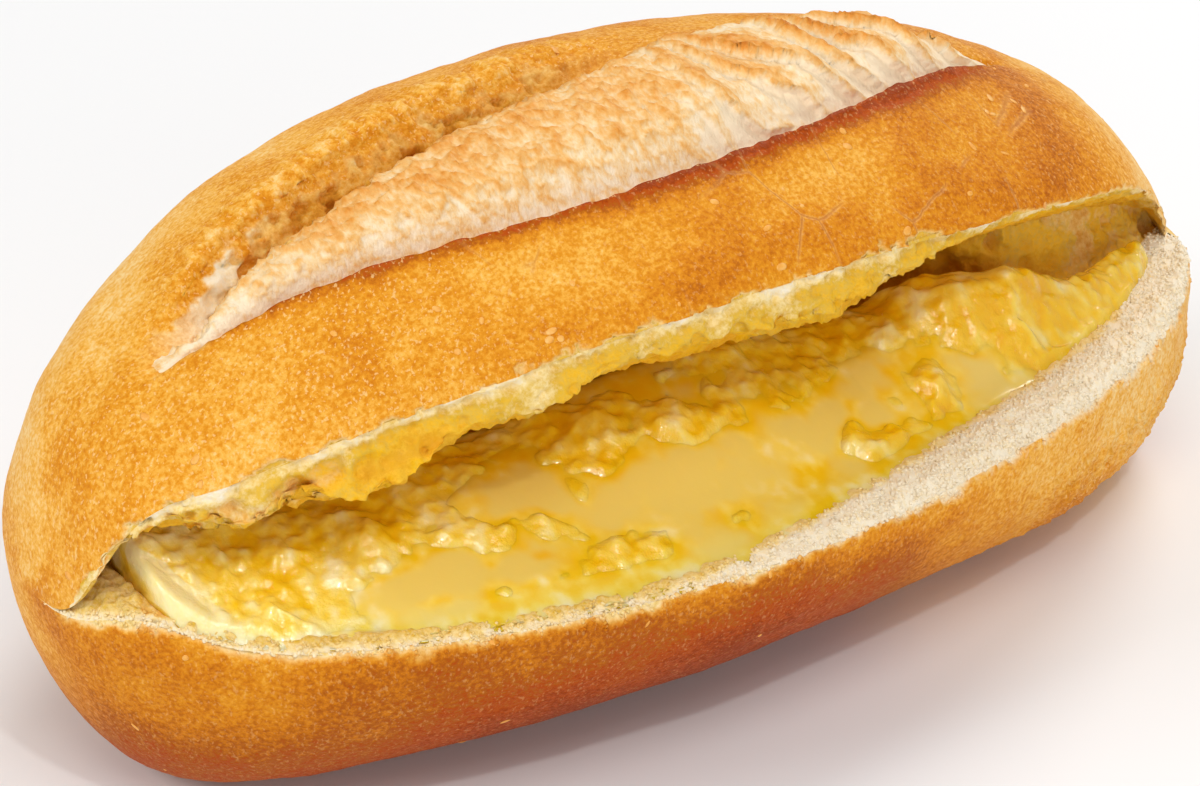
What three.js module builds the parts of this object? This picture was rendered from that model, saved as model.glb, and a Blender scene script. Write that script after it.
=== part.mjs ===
// A crusty oval bread roll, slit along its front, propped open and spread with butter and condensed milk.
// Millimetres, +Z up. X runs along the roll, the mouth opens towards -Y and the roll stands on Z = 0.
import * as THREE from "three";
import { ImprovedNoise } from "three/addons/math/ImprovedNoise.js";

const { clamp, degToRad, lerp, smoothstep } = THREE.MathUtils;

// Driving sizes of the baked roll
const LENGTH = 140;
const WIDTH = 72.5;
const CUT_HEIGHT = 24; // the slit above the base, at mid length
const DOME_HEIGHT = 32.7; // the top above the slit, while the roll is shut
const BASE_SINK = 1.5; // how much of the round base is pressed flat
const FULLEST_SHIFT = 0.072; // how far the fullest section sits left of the middle, in half lengths

// How the outlines narrow towards the tips, seen from above and from the side
const PLAN_OUTLINE = { power: 1.87, root: 2.19 };
const DOME_OUTLINE = { power: 2.31, root: 1.77 };
const BASE_OUTLINE = { power: 16, root: 1.2 };
const DOME_SECTION_POWER = 1.67; // roundness of the cross sections, where 2 is an ellipse
const BASE_SECTION_POWER = 2.1;
const BASE_WAIST = { amount: -0.12, from: -0.7, to: -0.1 }; // the base is less round from the middle on
const BASE_RIGHT_HEEL = { amount: 0.25, from: 0.1, to: 0.8 }; // and rounder again at the right

// The two ends differ
const CUT_TILT = -1.2; // the slit's drop from the middle to the right end
const CUT_BUMP = { height: 1.4, at: -0.9, spread: 0.09 }; // the slit's rise near the left end
const CUT_DIP = { height: -2.6, at: -1, spread: 0.045 }; // its drop at the left tip
const RIGHT_END_TRIM = { amount: 0.2, from: 0.7, to: 1 }; // share of the top half's width lost there
const RIGHT_END_SETBACK = { amount: 1.6, from: 0.72, to: 0.96 }; // how far the top stops short of the base
const RIGHT_SETBACK_OUTLINE = { power: 40, root: 2 };
const RIGHT_BASE_FULLNESS = 0.08; // how much deeper the base is at the right end
const RIGHT_DOME_FULLNESS = { amount: 0.12, from: 0.72, to: 0.95 }; // and how much higher the shoulder is

// The slit and the mouth it opens
const OPENING = degToRad(35.7);
const HINGE_SHARE = 0.22; // the uncut back starts this share of the half width behind the middle
const CUT_REACH = 0.985; // where the slit ends, in half lengths
const CUT_END_SHARPNESS = 30; // how abruptly the mouth closes at its corners
const BEND_START = degToRad(100); // the back crust bends between these two turns round the hinge
const BEND_END = degToRad(235);
const WEDGE_REACH = 0.3; // where the two cut faces round into each other, as a share of the way to the lip
const WEDGE_REACH_GROWTH = { amount: 0.22, from: 0.3, to: 0.65 }; // the mouth is shallower at the right
const CRUMB_HANG = 4.2; // soft crumb that hangs below the top half's lip
const CRUMB_HANG_ACROSS = { start: 0, full: 0.12, fading: 0.25, end: 0.65 }; // from the lip inwards
const CRUMB_HANG_ALONG = { start: -0.9, full: -0.7, fading: 0.6, end: 0.9 };
const CRUMB_HANG_THINNING = { amount: -0.6, from: 0.1, to: 0.5 };
const CRUMB_HANG_LIMIT = 0.3; // the largest share of the mouth's height that the crumb hangs into
const CRUMB_RAGGEDNESS = 0.45;
const CRUMB_RAGGEDNESS_SIZE = 8;
const CRUMB_CROWN = 0.9; // rise of the lower cut face behind its lip
const CRUMB_CROWN_LIMIT = 0.15; // and its largest share of the mouth's height
const CRUMB_BEVEL_START = 0.84; // where that rise falls away towards the lip

// The score on top: a raised ear in front, a stretched pale bulge behind it, then a torn valley
const EAR_LINE = { middle: 28.4, slope: 7.7, bend: 30.4 }; // degrees over the dome from the front lip
const VALLEY_LINE = { middle: 61.5, slope: 13.5, hook: 250, hookStart: -0.62 };
const SCORE_ALONG = { start: -0.86, full: -0.62, fading: 0.48, end: 0.68 };
const VALLEY_ALONG = { start: -0.84, full: -0.66, fading: -0.15, end: 0.14 };
const EAR_HEIGHT = 1.3;
const EAR_RUN = degToRad(6);
const EAR_DROP = { amount: 2.0, from: 0.05, to: 0.4 }; // step down from the ear, across the bulge
const BULGE_HEIGHT = 1.6;
const BULGE_FULLNESS = 0.8; // under 1 for a fuller crest
const VALLEY_DEPTH = 5.2;
const VALLEY_HALF_WIDTH = degToRad(5.5);
const VALLEY_CLEARANCE = 1.2; // least distance from the ear, in half widths
const BACK_EDGE_HEIGHT = 0.5;
const STRETCH_FOLD = { amount: 0.55, from: -0.1, to: 0.1 }; // folds across the right half of the bulge
const STRETCH_FOLD_PITCH = 14;
const CRUST_UNEVENNESS = 0.45;
const CRUST_UNEVENNESS_SIZE = 11;

// The filling
const GAP = 0.4; // between touching solids
const BUTTER_LEFT = -0.915; // ends of the butter, in half lengths
const BUTTER_RIGHT = 0.885;
const BUTTER_OUTLINE = { power: 9, root: 2.4 };
const BUTTER_END_OUTLINE = { power: 24, root: 2 };
const BUTTER_EDGE_OUTLINE = { power: 8, root: 2.2 };
const BUTTER_THICKNESS = 4.4; // of the slab at the left end
const BUTTER_THINNING = { amount: -1.7, from: -0.86, to: -0.68 };
const BUTTER_MARGIN = 0.8; // bare crumb between butter and lip
const BUTTER_MARGIN_GROWTH = { amount: 5.4, from: -0.3, to: 0.5 };
const BUTTER_BACK_MARGIN = 0.02; // clearance from the rounded back, as a share of the cut's depth
const TROUGH_FLOOR = 1.1; // butter left under the condensed milk
const TROUGH_FLOOR_SHARE = 1.05; // half widths of the trough's floor and top, in half widths of the pool
const TROUGH_TOP_SHARE = 1.45;
const MILK_LEFT = -54;
const MILK_RIGHT = 56;
const MILK_OUTLINE = { power: 4, root: 2.2 };
const MILK_EDGE_OUTLINE = { power: 4, root: 2 };
const MILK_LEVEL = 3.0; // above the cut face
const MILK_HALF_WIDTH = 3.2;
const MILK_MARGIN = 5; // the pool's middle line behind the butter's front edge

// Where the pool swings back from that line and where it widens, both along X
const MILK_BENDS = [
  { at: -26, spread: 9, height: 7 },
  { at: -6, spread: 14, height: 6 },
  { at: 19, spread: 8, height: 5 },
];
const MILK_SWELLS = [
  { at: -8, spread: 15, height: 4.6 },
  { at: 21, spread: 7, height: 1.5 },
];

// Lumps of butter beside the milk
const BUTTER_LUMPS = [
  { x: -40, y: -11, radius: 5, height: 2.4 },
  { x: -29, y: -12, radius: 6, height: 1.6 },
  { x: -20, y: -30, radius: 5, height: 1.3 },
  { x: -10, y: -13, radius: 6, height: 2.0 },
  { x: 3, y: -12, radius: 7, height: 1.8 },
  { x: 11, y: -28.5, radius: 4.5, height: 2.2 },
  { x: 21, y: -7, radius: 6, height: 2.0 },
  { x: 36, y: -10, radius: 5, height: 2.2 },
];

// Resolution of the lofts
const BREAD_STATIONS = 72;
const BASE_STEPS = 16;
const FACE_STEPS = 6;
const WEDGE_STEPS = 4;
const FILLING_STATIONS = 40;
const MILK_STEPS = 4;

const noise = new ImprovedNoise();

// Outlines of the roll, with u running from -1 at the left tip to 1 at the right tip

function profile(u, { power, root }) {
  return Math.max(0, 1 - Math.abs(u) ** power) ** (1 / root);
}

function bell(place, { height, at, spread }) {
  return height * Math.exp(-(((place - at) / spread) ** 2));
}

function ramp(place, { amount, from, to }) {
  return amount * smoothstep(place, from, to);
}

// 1 along a feature, fading to 0 at its two ends
function within(place, { start, full, fading, end }) {
  return smoothstep(place, start, full) * (1 - smoothstep(place, fading, end));
}

function along(u) {
  return (LENGTH / 2) * u;
}

function shifted(u) {
  return u + FULLEST_SHIFT * (1 - u * u);
}

function halfWidth(u) {
  return (WIDTH / 2) * profile(shifted(u), PLAN_OUTLINE);
}

function topHalfWidth(u) {
  return halfWidth(u) * (1 - ramp(u, RIGHT_END_TRIM));
}

function domeHeight(u) {
  const fullness = 1 + ramp(u, RIGHT_DOME_FULLNESS);
  return DOME_HEIGHT * fullness * profile(shifted(u), DOME_OUTLINE);
}

function baseDepth(u) {
  const fullness = 1 + RIGHT_BASE_FULLNESS * Math.max(u, 0) ** 2;
  return (CUT_HEIGHT + BASE_SINK) * fullness * profile(shifted(u), BASE_OUTLINE);
}

function cutHeight(u) {
  return CUT_HEIGHT + CUT_TILT * u + bell(u, CUT_BUMP) + bell(u, CUT_DIP);
}

function rightSetback(u) {
  return ramp(u, RIGHT_END_SETBACK) * profile(Math.max(u, 0), RIGHT_SETBACK_OUTLINE);
}

function hingeY(u) {
  return HINGE_SHARE * halfWidth(u);
}

function opening(u) {
  return OPENING * Math.max(0, 1 - Math.abs(u / CUT_REACH) ** CUT_END_SHARPNESS);
}

// The score, by angle over the dome from the front lip

function earAngle(u) {
  return degToRad(EAR_LINE.middle + EAR_LINE.slope * u + EAR_LINE.bend * u * u);
}

function valleyAngle(u) {
  const hook = VALLEY_LINE.hook * Math.max(0, VALLEY_LINE.hookStart - u) ** 2;
  const line = degToRad(VALLEY_LINE.middle + VALLEY_LINE.slope * u - hook);
  return Math.max(line, earAngle(u) + VALLEY_CLEARANCE * VALLEY_HALF_WIDTH);
}

function bulgeRelief(u, across) {
  const crest = BULGE_HEIGHT * Math.sin(Math.PI * across) ** BULGE_FULLNESS;
  const step = ramp(across, EAR_DROP) - EAR_DROP.amount;
  const fold = ramp(u, STRETCH_FOLD) * Math.sin((2 * Math.PI * along(u)) / STRETCH_FOLD_PITCH);
  return crest + step + fold * Math.sin(Math.PI * across);
}

function domeRelief(u, angle) {
  const ear = earAngle(u);
  const valley = valleyAngle(u);
  const torn = within(u, VALLEY_ALONG);
  const frontOfEar = EAR_HEIGHT * Math.exp((angle - ear) / EAR_RUN);
  const behindEar = bulgeRelief(u, clamp((angle - ear) / (valley - ear), 0, 1));
  const acrossValley = (angle - valley) / VALLEY_HALF_WIDTH;
  let relief = within(u, SCORE_ALONG) * (angle <= ear ? frontOfEar : behindEar);
  relief -= torn * VALLEY_DEPTH * Math.exp(-2 * acrossValley ** 2);
  if (acrossValley > 1) {
    relief += torn * BACK_EDGE_HEIGHT * Math.exp(-(acrossValley - 1) / 2);
  }
  return relief;
}

function crustUnevenness(u, y, z) {
  const size = CRUST_UNEVENNESS_SIZE;
  return CRUST_UNEVENNESS * (1 - u ** 8) * noise.noise(along(u) / size, y / size, z / size);
}

// Crust of the shut roll, then swung up about the hinge

function superArc(angle, halfSpan, rise, power) {
  const cosine = -Math.cos(angle);
  const y = halfSpan * Math.sign(cosine) * Math.abs(cosine) ** (2 / power);
  return { y, rise: rise * Math.abs(Math.sin(angle)) ** (2 / power) };
}

function domePoint(u, angle) {
  const arc = superArc(angle, topHalfWidth(u), domeHeight(u), DOME_SECTION_POWER);
  const radius = Math.hypot(arc.y, arc.rise);
  const awayFromCut = Math.sqrt(Math.sin(angle));
  const relief = domeRelief(u, angle) + awayFromCut * crustUnevenness(u, arc.y, arc.rise);
  const growth = radius > 0 ? 1 + relief / radius : 1;
  const ahead = hingeY(u) - arc.y * growth;
  const rise = arc.rise * growth;
  return swungPoint(u, Math.hypot(ahead, rise), Math.atan2(rise, ahead));
}

function basePoint(u, angle) {
  const power = BASE_SECTION_POWER + ramp(u, BASE_WAIST) + ramp(u, BASE_RIGHT_HEEL);
  const arc = superArc(angle, halfWidth(u), baseDepth(u), power);
  const ahead = hingeY(u) - arc.y;
  return swungPoint(u, Math.hypot(ahead, arc.rise), 2 * Math.PI - Math.atan2(arc.rise, ahead));
}

// A point at a radius and a turn round the hinge: 0 is the top half's lip, a full turn the lower lip
function swungPoint(u, radius, turn) {
  const swung = turn + opening(u) * (1 - smoothstep(turn, BEND_START, BEND_END));
  const x = along(u) - rightSetback(u) * (1 - smoothstep(turn, Math.PI / 3, Math.PI));
  const y = hingeY(u) - radius * Math.cos(swung);
  const z = cutHeight(u) + radius * Math.sin(swung);
  return new THREE.Vector3(x, y, Math.max(0, z));
}

// Cut faces, with reach running from 0 at the hinge to 1 at the lip

function wedgeReach(u) {
  return WEDGE_REACH + ramp(u, WEDGE_REACH_GROWTH);
}

function hangingCrumb(u, reach) {
  const share = within(u, CRUMB_HANG_ALONG) * within(1 - reach, CRUMB_HANG_ACROSS);
  const size = CRUMB_RAGGEDNESS_SIZE;
  const ragged = 1 + CRUMB_RAGGEDNESS * noise.noise(along(u) / size, reach * size, 0.5);
  return CRUMB_HANG * (1 + ramp(u, CRUMB_HANG_THINNING)) * ragged * share;
}

function upperFacePoint(u, reach) {
  const swing = opening(u);
  const radius = reach * (hingeY(u) + topHalfWidth(u));
  const hang = Math.min(hangingCrumb(u, reach), CRUMB_HANG_LIMIT * radius * Math.sin(swing));
  const x = along(u) - rightSetback(u) * smoothstep(reach, wedgeReach(u), 1);
  const y = hingeY(u) - radius * Math.cos(swing) - hang * Math.sin(swing);
  const z = cutHeight(u) + radius * Math.sin(swing) - hang * Math.cos(swing);
  return new THREE.Vector3(x, y, z);
}

function lowerFaceHeight(u, reach) {
  const crown = Math.min(CRUMB_CROWN, CRUMB_CROWN_LIMIT * halfWidth(u) * Math.sin(opening(u)));
  return cutHeight(u) + crown * (1 - smoothstep(reach, CRUMB_BEVEL_START, 1));
}

function lowerFacePoint(u, reach) {
  const y = hingeY(u) - reach * (hingeY(u) + halfWidth(u));
  return new THREE.Vector3(along(u), y, lowerFaceHeight(u, reach));
}

function wedgePoints(u) {
  const start = wedgeReach(u);
  const corner = new THREE.Vector3(along(u), hingeY(u), cutHeight(u));
  const curve = new THREE.QuadraticBezierCurve3(upperFacePoint(u, start), corner, lowerFacePoint(u, start));
  return curve.getPoints(WEDGE_STEPS);
}

// Evenly spaced values between knots; each knot says how many steps follow it
function steppedBetween(knots) {
  const values = [];
  for (let k = 0; k + 1 < knots.length; k += 1) {
    for (let step = 0; step < knots[k].steps; step += 1) {
      values.push(lerp(knots[k].at, knots[k + 1].at, step / knots[k].steps));
    }
  }
  return values;
}

// Angles over the dome from the back to the front, closest together at the valley and the ear
function domeAngles(u) {
  const ear = earAngle(u);
  const valley = valleyAngle(u);
  return steppedBetween([
    { at: Math.PI, steps: 10 },
    { at: valley + 1.3 * VALLEY_HALF_WIDTH, steps: 3 },
    { at: valley, steps: 3 },
    { at: Math.max(valley - 1.3 * VALLEY_HALF_WIDTH, lerp(ear, valley, 0.4)), steps: 5 },
    { at: ear + 0.2 * EAR_RUN, steps: 1 },
    { at: ear, steps: 6 },
    { at: 0 },
  ]);
}

// One closed section: base from front to back, dome from back to front, then round the mouth
function breadSection(u) {
  const baseAngles = steppedBetween([{ at: 0, steps: BASE_STEPS }, { at: Math.PI }]);
  const crust = [
    ...baseAngles.map((angle) => basePoint(u, angle)),
    ...domeAngles(u).map((angle) => domePoint(u, angle)),
  ];
  const faceReaches = steppedBetween([{ at: 1, steps: FACE_STEPS }, { at: wedgeReach(u) }]);
  const mouth = [
    ...faceReaches.map((reach) => upperFacePoint(u, reach)),
    ...wedgePoints(u),
    ...faceReaches.slice(1).reverse().map((reach) => lowerFacePoint(u, reach)),
  ];
  const lip = crust[0];
  const isShut = Math.abs(u) >= CUT_REACH;
  return [...crust, ...mouth.map((point) => (isShut ? lip : point))];
}

// Closed loft through sections that run the same way round; sections that shrink to a point close its ends
function loft(sections) {
  const positions = [];
  const places = new Map();
  const indices = [];
  const indexOf = (point) => {
    const place = point.toArray().map((value) => value.toFixed(3)).join(" ");
    if (!places.has(place)) {
      places.set(place, positions.length / 3);
      positions.push(...point.toArray());
    }
    return places.get(place);
  };
  const addTriangle = (a, b, c) => {
    if (a !== b && b !== c && c !== a) {
      indices.push(a, b, c);
    }
  };
  const rings = sections.map((section) => section.map(indexOf));
  for (let ring = 0; ring + 1 < rings.length; ring += 1) {
    const here = rings[ring];
    const next = rings[ring + 1];
    for (let side = 0; side < here.length; side += 1) {
      const after = (side + 1) % here.length;
      addTriangle(here[side], here[after], next[after]);
      addTriangle(here[side], next[after], next[side]);
    }
  }
  const geometry = new THREE.BufferGeometry();
  geometry.setAttribute("position", new THREE.Float32BufferAttribute(positions, 3));
  geometry.setIndex(indices);
  geometry.computeVertexNormals();
  return geometry;
}

// Stations from -1 to 1 that crowd towards both ends
function endCrowdedStations(count) {
  return Array.from({ length: count + 1 }, (_, k) => -Math.cos((Math.PI * k) / count));
}

function breadGeometry() {
  return loft(endCrowdedStations(BREAD_STATIONS).map(breadSection));
}

// Outlines of the filling on the lower cut face

function reachAt(u, y) {
  return (hingeY(u) - y) / (hingeY(u) + halfWidth(u));
}

function butterFront(u) {
  return -halfWidth(u) + BUTTER_MARGIN + ramp(u, BUTTER_MARGIN_GROWTH);
}

function butterBack(u) {
  return hingeY(u) - (wedgeReach(u) + BUTTER_BACK_MARGIN) * (hingeY(u) + halfWidth(u));
}

function milkMiddle(x) {
  let middle = butterFront(x / along(1)) + MILK_MARGIN;
  for (const bend of MILK_BENDS) {
    middle += bell(x, bend);
  }
  return middle;
}

function milkHalfWidth(x) {
  let half = MILK_HALF_WIDTH;
  for (const swell of MILK_SWELLS) {
    half += bell(x, swell);
  }
  const fromMiddle = (2 * x - MILK_LEFT - MILK_RIGHT) / (MILK_RIGHT - MILK_LEFT);
  return half * profile(fromMiddle, MILK_OUTLINE);
}

// Stations shared by the butter and the milk that lies in it, so that the two follow the same facets
function fillingStations() {
  return endCrowdedStations(FILLING_STATIONS).map((share) => {
    const u = lerp(BUTTER_LEFT, BUTTER_RIGHT, (share + 1) / 2);
    const middle = (butterFront(u) + butterBack(u)) / 2;
    const half = ((butterBack(u) - butterFront(u)) / 2) * profile(share, BUTTER_OUTLINE);
    return { u, x: along(u), middle, half, endRound: profile(share, BUTTER_END_OUTLINE) };
  });
}

// A section between a lower and an upper surface over the same lines
function slabSection(x, lines, bottomAt, topAt) {
  const bottom = lines.map((y) => new THREE.Vector3(x, y, bottomAt(y)));
  const top = lines.map((y) => new THREE.Vector3(x, y, topAt(y)));
  return [...bottom, ...top.reverse()];
}

// Butter: a lumpy slab with a trough that the condensed milk fills

function troughShare(x, y) {
  const half = milkHalfWidth(x);
  const fromMiddle = Math.abs(y - milkMiddle(x));
  return half > 0 ? 1 - smoothstep(fromMiddle / half, TROUGH_FLOOR_SHARE, TROUGH_TOP_SHARE) : 0;
}

function butterThickness(u, y) {
  const x = along(u);
  let thickness = BUTTER_THICKNESS + ramp(u, BUTTER_THINNING);
  for (const { height, radius, ...lump } of BUTTER_LUMPS) {
    thickness += bell(Math.hypot(x - lump.x, y - lump.y), { height, at: 0, spread: radius });
  }
  return lerp(thickness, TROUGH_FLOOR, troughShare(x, y));
}

// Places across the butter: its two edges, and the walls and floor of the trough between them
function butterLines({ x, middle, half }) {
  const front = middle - half;
  const back = middle + half;
  const pool = clamp(milkMiddle(x), front, back);
  const floor = TROUGH_FLOOR_SHARE * milkHalfWidth(x);
  const wall = TROUGH_TOP_SHARE * milkHalfWidth(x);
  return steppedBetween([
    { at: front, steps: 3 },
    { at: Math.max(pool - wall, lerp(front, pool - floor, 0.4)), steps: 2 },
    { at: Math.max(pool - floor, front), steps: MILK_STEPS },
    { at: Math.min(pool + floor, back), steps: 2 },
    { at: Math.min(pool + wall, back), steps: 6 },
    { at: back, steps: 1 },
    { at: back },
  ]);
}

function butterBottom(u, y) {
  return lowerFaceHeight(u, reachAt(u, y)) + GAP;
}

function butterTop({ u, middle, half, endRound }, y) {
  const edge = half > 0 ? profile((y - middle) / half, BUTTER_EDGE_OUTLINE) : 0;
  return butterBottom(u, y) + butterThickness(u, y) * edge * endRound;
}

function butterSection(station) {
  const bottomAt = (y) => butterBottom(station.u, y);
  const topAt = (y) => butterTop(station, y);
  return slabSection(station.x, butterLines(station), bottomAt, topAt);
}

function butterGeometry() {
  return loft(fillingStations().map(butterSection));
}

// Condensed milk: one pool that winds along the trough

function milkSection(station) {
  const { u, x } = station;
  const middle = milkMiddle(x);
  const half = milkHalfWidth(x);
  const lines = Array.from({ length: MILK_STEPS + 1 }, (_, k) => middle + half * ((2 * k) / MILK_STEPS - 1));
  const bottomAt = (y) => butterTop(station, y) + GAP;
  const topAt = (y) => {
    const across = half > 0 ? (y - middle) / half : 1;
    const depth = Math.max(0, lowerFaceHeight(u, reachAt(u, y)) + MILK_LEVEL - bottomAt(y));
    return bottomAt(y) + depth * profile(across, MILK_EDGE_OUTLINE);
  };
  return slabSection(x, lines, bottomAt, topAt);
}

function milkGeometry() {
  const stations = fillingStations();
  const first = stations.findIndex((station) => station.x > MILK_LEFT) - 1;
  const last = stations.findIndex((station) => station.x >= MILK_RIGHT);
  return loft(stations.slice(first, last + 1).map(milkSection));
}

// The whole roll

function piece(name, geometry, look) {
  const mesh = new THREE.Mesh(geometry, new THREE.MeshStandardMaterial({ metalness: 0, ...look }));
  mesh.name = name;
  return mesh;
}

const roll = new THREE.Group();
roll.add(
  piece("bread", breadGeometry(), { color: "#cf8a35", roughness: 0.6 }),
  piece("butter", butterGeometry(), { color: "#e8c230", roughness: 0.3 }),
  piece("condensed_milk", milkGeometry(), { color: "#e6c878", roughness: 0.15 }),
);

// The origin is under the middle of the whole roll
const middle = new THREE.Box3().setFromObject(roll).getCenter(new THREE.Vector3());
roll.position.set(-middle.x, -middle.y, 0);

export default roll;
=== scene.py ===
"""Looks of a crusty oval bread roll, slit along its front and spread with butter and condensed milk."""

import math

import bpy
import numpy as np
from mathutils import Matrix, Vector, noise


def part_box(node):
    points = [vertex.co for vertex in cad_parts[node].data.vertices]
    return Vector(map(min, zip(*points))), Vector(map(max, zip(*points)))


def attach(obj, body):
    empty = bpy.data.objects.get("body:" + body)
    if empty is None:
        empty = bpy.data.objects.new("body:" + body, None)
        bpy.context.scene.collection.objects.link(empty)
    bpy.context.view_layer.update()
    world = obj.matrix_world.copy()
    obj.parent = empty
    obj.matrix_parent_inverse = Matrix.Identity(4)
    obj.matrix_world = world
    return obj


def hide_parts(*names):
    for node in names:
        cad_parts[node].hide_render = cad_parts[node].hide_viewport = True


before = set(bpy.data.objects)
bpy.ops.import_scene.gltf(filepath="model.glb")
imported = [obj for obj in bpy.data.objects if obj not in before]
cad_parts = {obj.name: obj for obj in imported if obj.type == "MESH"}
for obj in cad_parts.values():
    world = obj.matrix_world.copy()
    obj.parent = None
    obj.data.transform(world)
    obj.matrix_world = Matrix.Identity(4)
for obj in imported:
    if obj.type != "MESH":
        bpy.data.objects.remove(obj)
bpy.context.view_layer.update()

# Sizes of the baked roll, in millimetres, nearly all as its solids have them
MM = 0.001
LENGTH = 140
WIDTH = 72.5
CUT_HEIGHT = 24
DOME_HEIGHT = 32.7
BASE_SINK = 1.5
FULLEST_SHIFT = 0.072
PLAN_OUTLINE = {"power": 1.87, "root": 2.19}
DOME_OUTLINE = {"power": 2.31, "root": 1.77}
BASE_OUTLINE = {"power": 16, "root": 1.2}
DOME_SECTION_POWER = 1.67
BASE_SECTION_POWER = 2.1
BASE_WAIST = {"amount": -0.12, "start": -0.7, "end": -0.1}
BASE_RIGHT_HEEL = {"amount": 0.25, "start": 0.1, "end": 0.8}
CUT_TILT = -1.2
CUT_BUMP = {"height": 2.0, "at": -0.93, "spread": 0.08}
CUT_DIP = {"height": -2.0, "at": -1, "spread": 0.03}
RIGHT_END_TRIM = {"amount": 0.2, "start": 0.7, "end": 1}
RIGHT_END_SETBACK = {"amount": 1.6, "start": 0.72, "end": 0.96}
RIGHT_SETBACK_OUTLINE = {"power": 40, "root": 2}
RIGHT_BASE_FULLNESS = 0.08
RIGHT_DOME_FULLNESS = {"amount": 0.12, "start": 0.72, "end": 0.95}

# The slit and the mouth it opens
OPENING = math.radians(35.7)
HINGE_SHARE = 0.22
LEFT_CUT_REACH = 1.0
RIGHT_CUT_REACH = 0.985
CUT_END_SHARPNESS = 30
BEND_START = math.radians(100)
BEND_END = math.radians(235)
SETBACK_FADE = (math.pi / 3, math.pi)
WEDGE_REACH = 0.3
WEDGE_REACH_GROWTH = {"amount": 0.22, "start": 0.3, "end": 0.65}
WEDGE_FLATNESS = {"amount": 0.85, "start": 0.35, "end": 0.6}
CRUMB_HANG_LIMIT = 0.3
CRUMB_CROWN = 0.9
CRUMB_CROWN_LIMIT = 0.15
CRUMB_BEVEL_START = 0.84

# The score on top
EAR_LINE = {"middle": 28.4, "slope": 7.7, "bend": 30.4}
VALLEY_LINE = {"middle": 61.5, "slope": 13.5, "hook": 250, "hook_start": -0.62}
SCORE_ALONG = {"start": -0.86, "full": -0.62, "fading": 0.48, "end": 0.68}
VALLEY_ALONG = {"start": -0.84, "full": -0.66, "fading": -0.15, "end": 0.14}
EAR_HEIGHT = 1.3
EAR_RUN = math.radians(6)
EAR_DROP = {"amount": 2.0, "start": 0.05, "end": 0.4}
BULGE_HEIGHT = 1.6
BULGE_FULLNESS = 0.8
VALLEY_DEPTH = 5.2
VALLEY_HALF_WIDTH = math.radians(5.5)
VALLEY_CLEARANCE = 1.2
VALLEY_BACK_SPREAD = 1.5
BACK_EDGE_HEIGHT = 0.5
STRETCH_FOLD = {"amount": 0.55, "start": -0.1, "end": 0.1}
STRETCH_FOLD_PITCH = 14

# The filling
BUTTER_RIGHT = 0.885
BUTTER_EDGE_OUTLINE = {"power": 8, "root": 2.2}
BUTTER_MARGIN = 1.0
BUTTER_MARGIN_GROWTH = {"amount": 5.2, "start": -0.3, "end": 0.5}
BUTTER_BACK_MARGIN = 0.02
MILK_LEFT = -54
MILK_RIGHT = 56
MILK_OUTLINE = {"power": 4, "root": 2.2}
MILK_HALF_WIDTH = 3.2
MILK_MARGIN = 5
MILK_BENDS = [
    {"at": -26, "spread": 9, "height": 7},
    {"at": -6, "spread": 14, "height": 6},
    {"at": 19, "spread": 8, "height": 5},
]
MILK_SWELLS = [
    {"at": -8, "spread": 15, "height": 4.6},
    {"at": 21, "spread": 7, "height": 1.5},
]

# The camera, found from the outline of the roll in the photograph
CAMERA_AZIMUTH = math.radians(-34.19)
CAMERA_ELEVATION = math.radians(31.21)
CAMERA_DISTANCE = 553.2
CAMERA_TARGET = (-3.22, 0.33, 24.48)
CAMERA_LENS = 160
CAMERA_SENSOR = 36

# The solids stand a little off the roll's own middle line
ROLL_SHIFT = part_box("bread")[0].y / MM + WIDTH / 2


# Shapes of functions

def profile(place, power, root):
    return np.maximum(0, 1 - np.abs(place) ** power) ** (1 / root)


def bell(place, height, at, spread):
    return height * np.exp(-(((place - at) / spread) ** 2))


def smooth(place, start, end):
    share = np.clip((place - start) / (end - start), 0, 1)
    return share * share * (3 - 2 * share)


def ramp(place, amount, start, end):
    return amount * smooth(place, start, end)


def within(place, start, full, fading, end):
    return smooth(place, start, full) * (1 - smooth(place, fading, end))


def mix(first, second, share):
    return first + (second - first) * share


def faded(place, stops):
    """Two stops fade in, or out where they fall; four fade in and out again."""
    return within(place, *stops) if len(stops) == 4 else smooth(place, *stops)


def mixed(at, shares):
    """The sum of some of the named values, each times its share."""
    return sum(share * at[name] for name, share in shares.items())


def zone(at, amount, *names, **ranges):
    """An amount times some of the named values, faded by ranges of others."""
    value = amount
    for name in names:
        value = value * at[name]
    for name, stops in ranges.items():
        value = value * faded(at[name], stops)
    return value


def term(amount, *names, **ranges):
    """What zone needs for one term of a sum, besides the named values."""
    return amount, names, ranges


def zones(at, terms):
    return sum(zone(at, amount, *names, **ranges) for amount, names, ranges in terms)


def noise_at(points, size, seed):
    """Smooth noise from -1 to 1 with bumps of about that size, or of a size for each axis."""
    places = (np.asarray(points) / size + 31.7 * seed).reshape(-1, 3)
    values = [noise.noise(place) for place in places.tolist()]
    return np.array(values).reshape(np.shape(points)[:-1])


def layered_noise(points, layers):
    """Noises over one another, each with its height, the size of its bumps and a seed."""
    return sum(height * noise_at(points, size, seed) for height, size, seed in layers)


def laced(points, size, seed, thinness, sharpness):
    """Sharp crests from 0 to 1, where a noise crosses zero."""
    return np.clip(1 - thinness * np.abs(noise_at(points, size, seed)), 0, 1) ** sharpness


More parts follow.
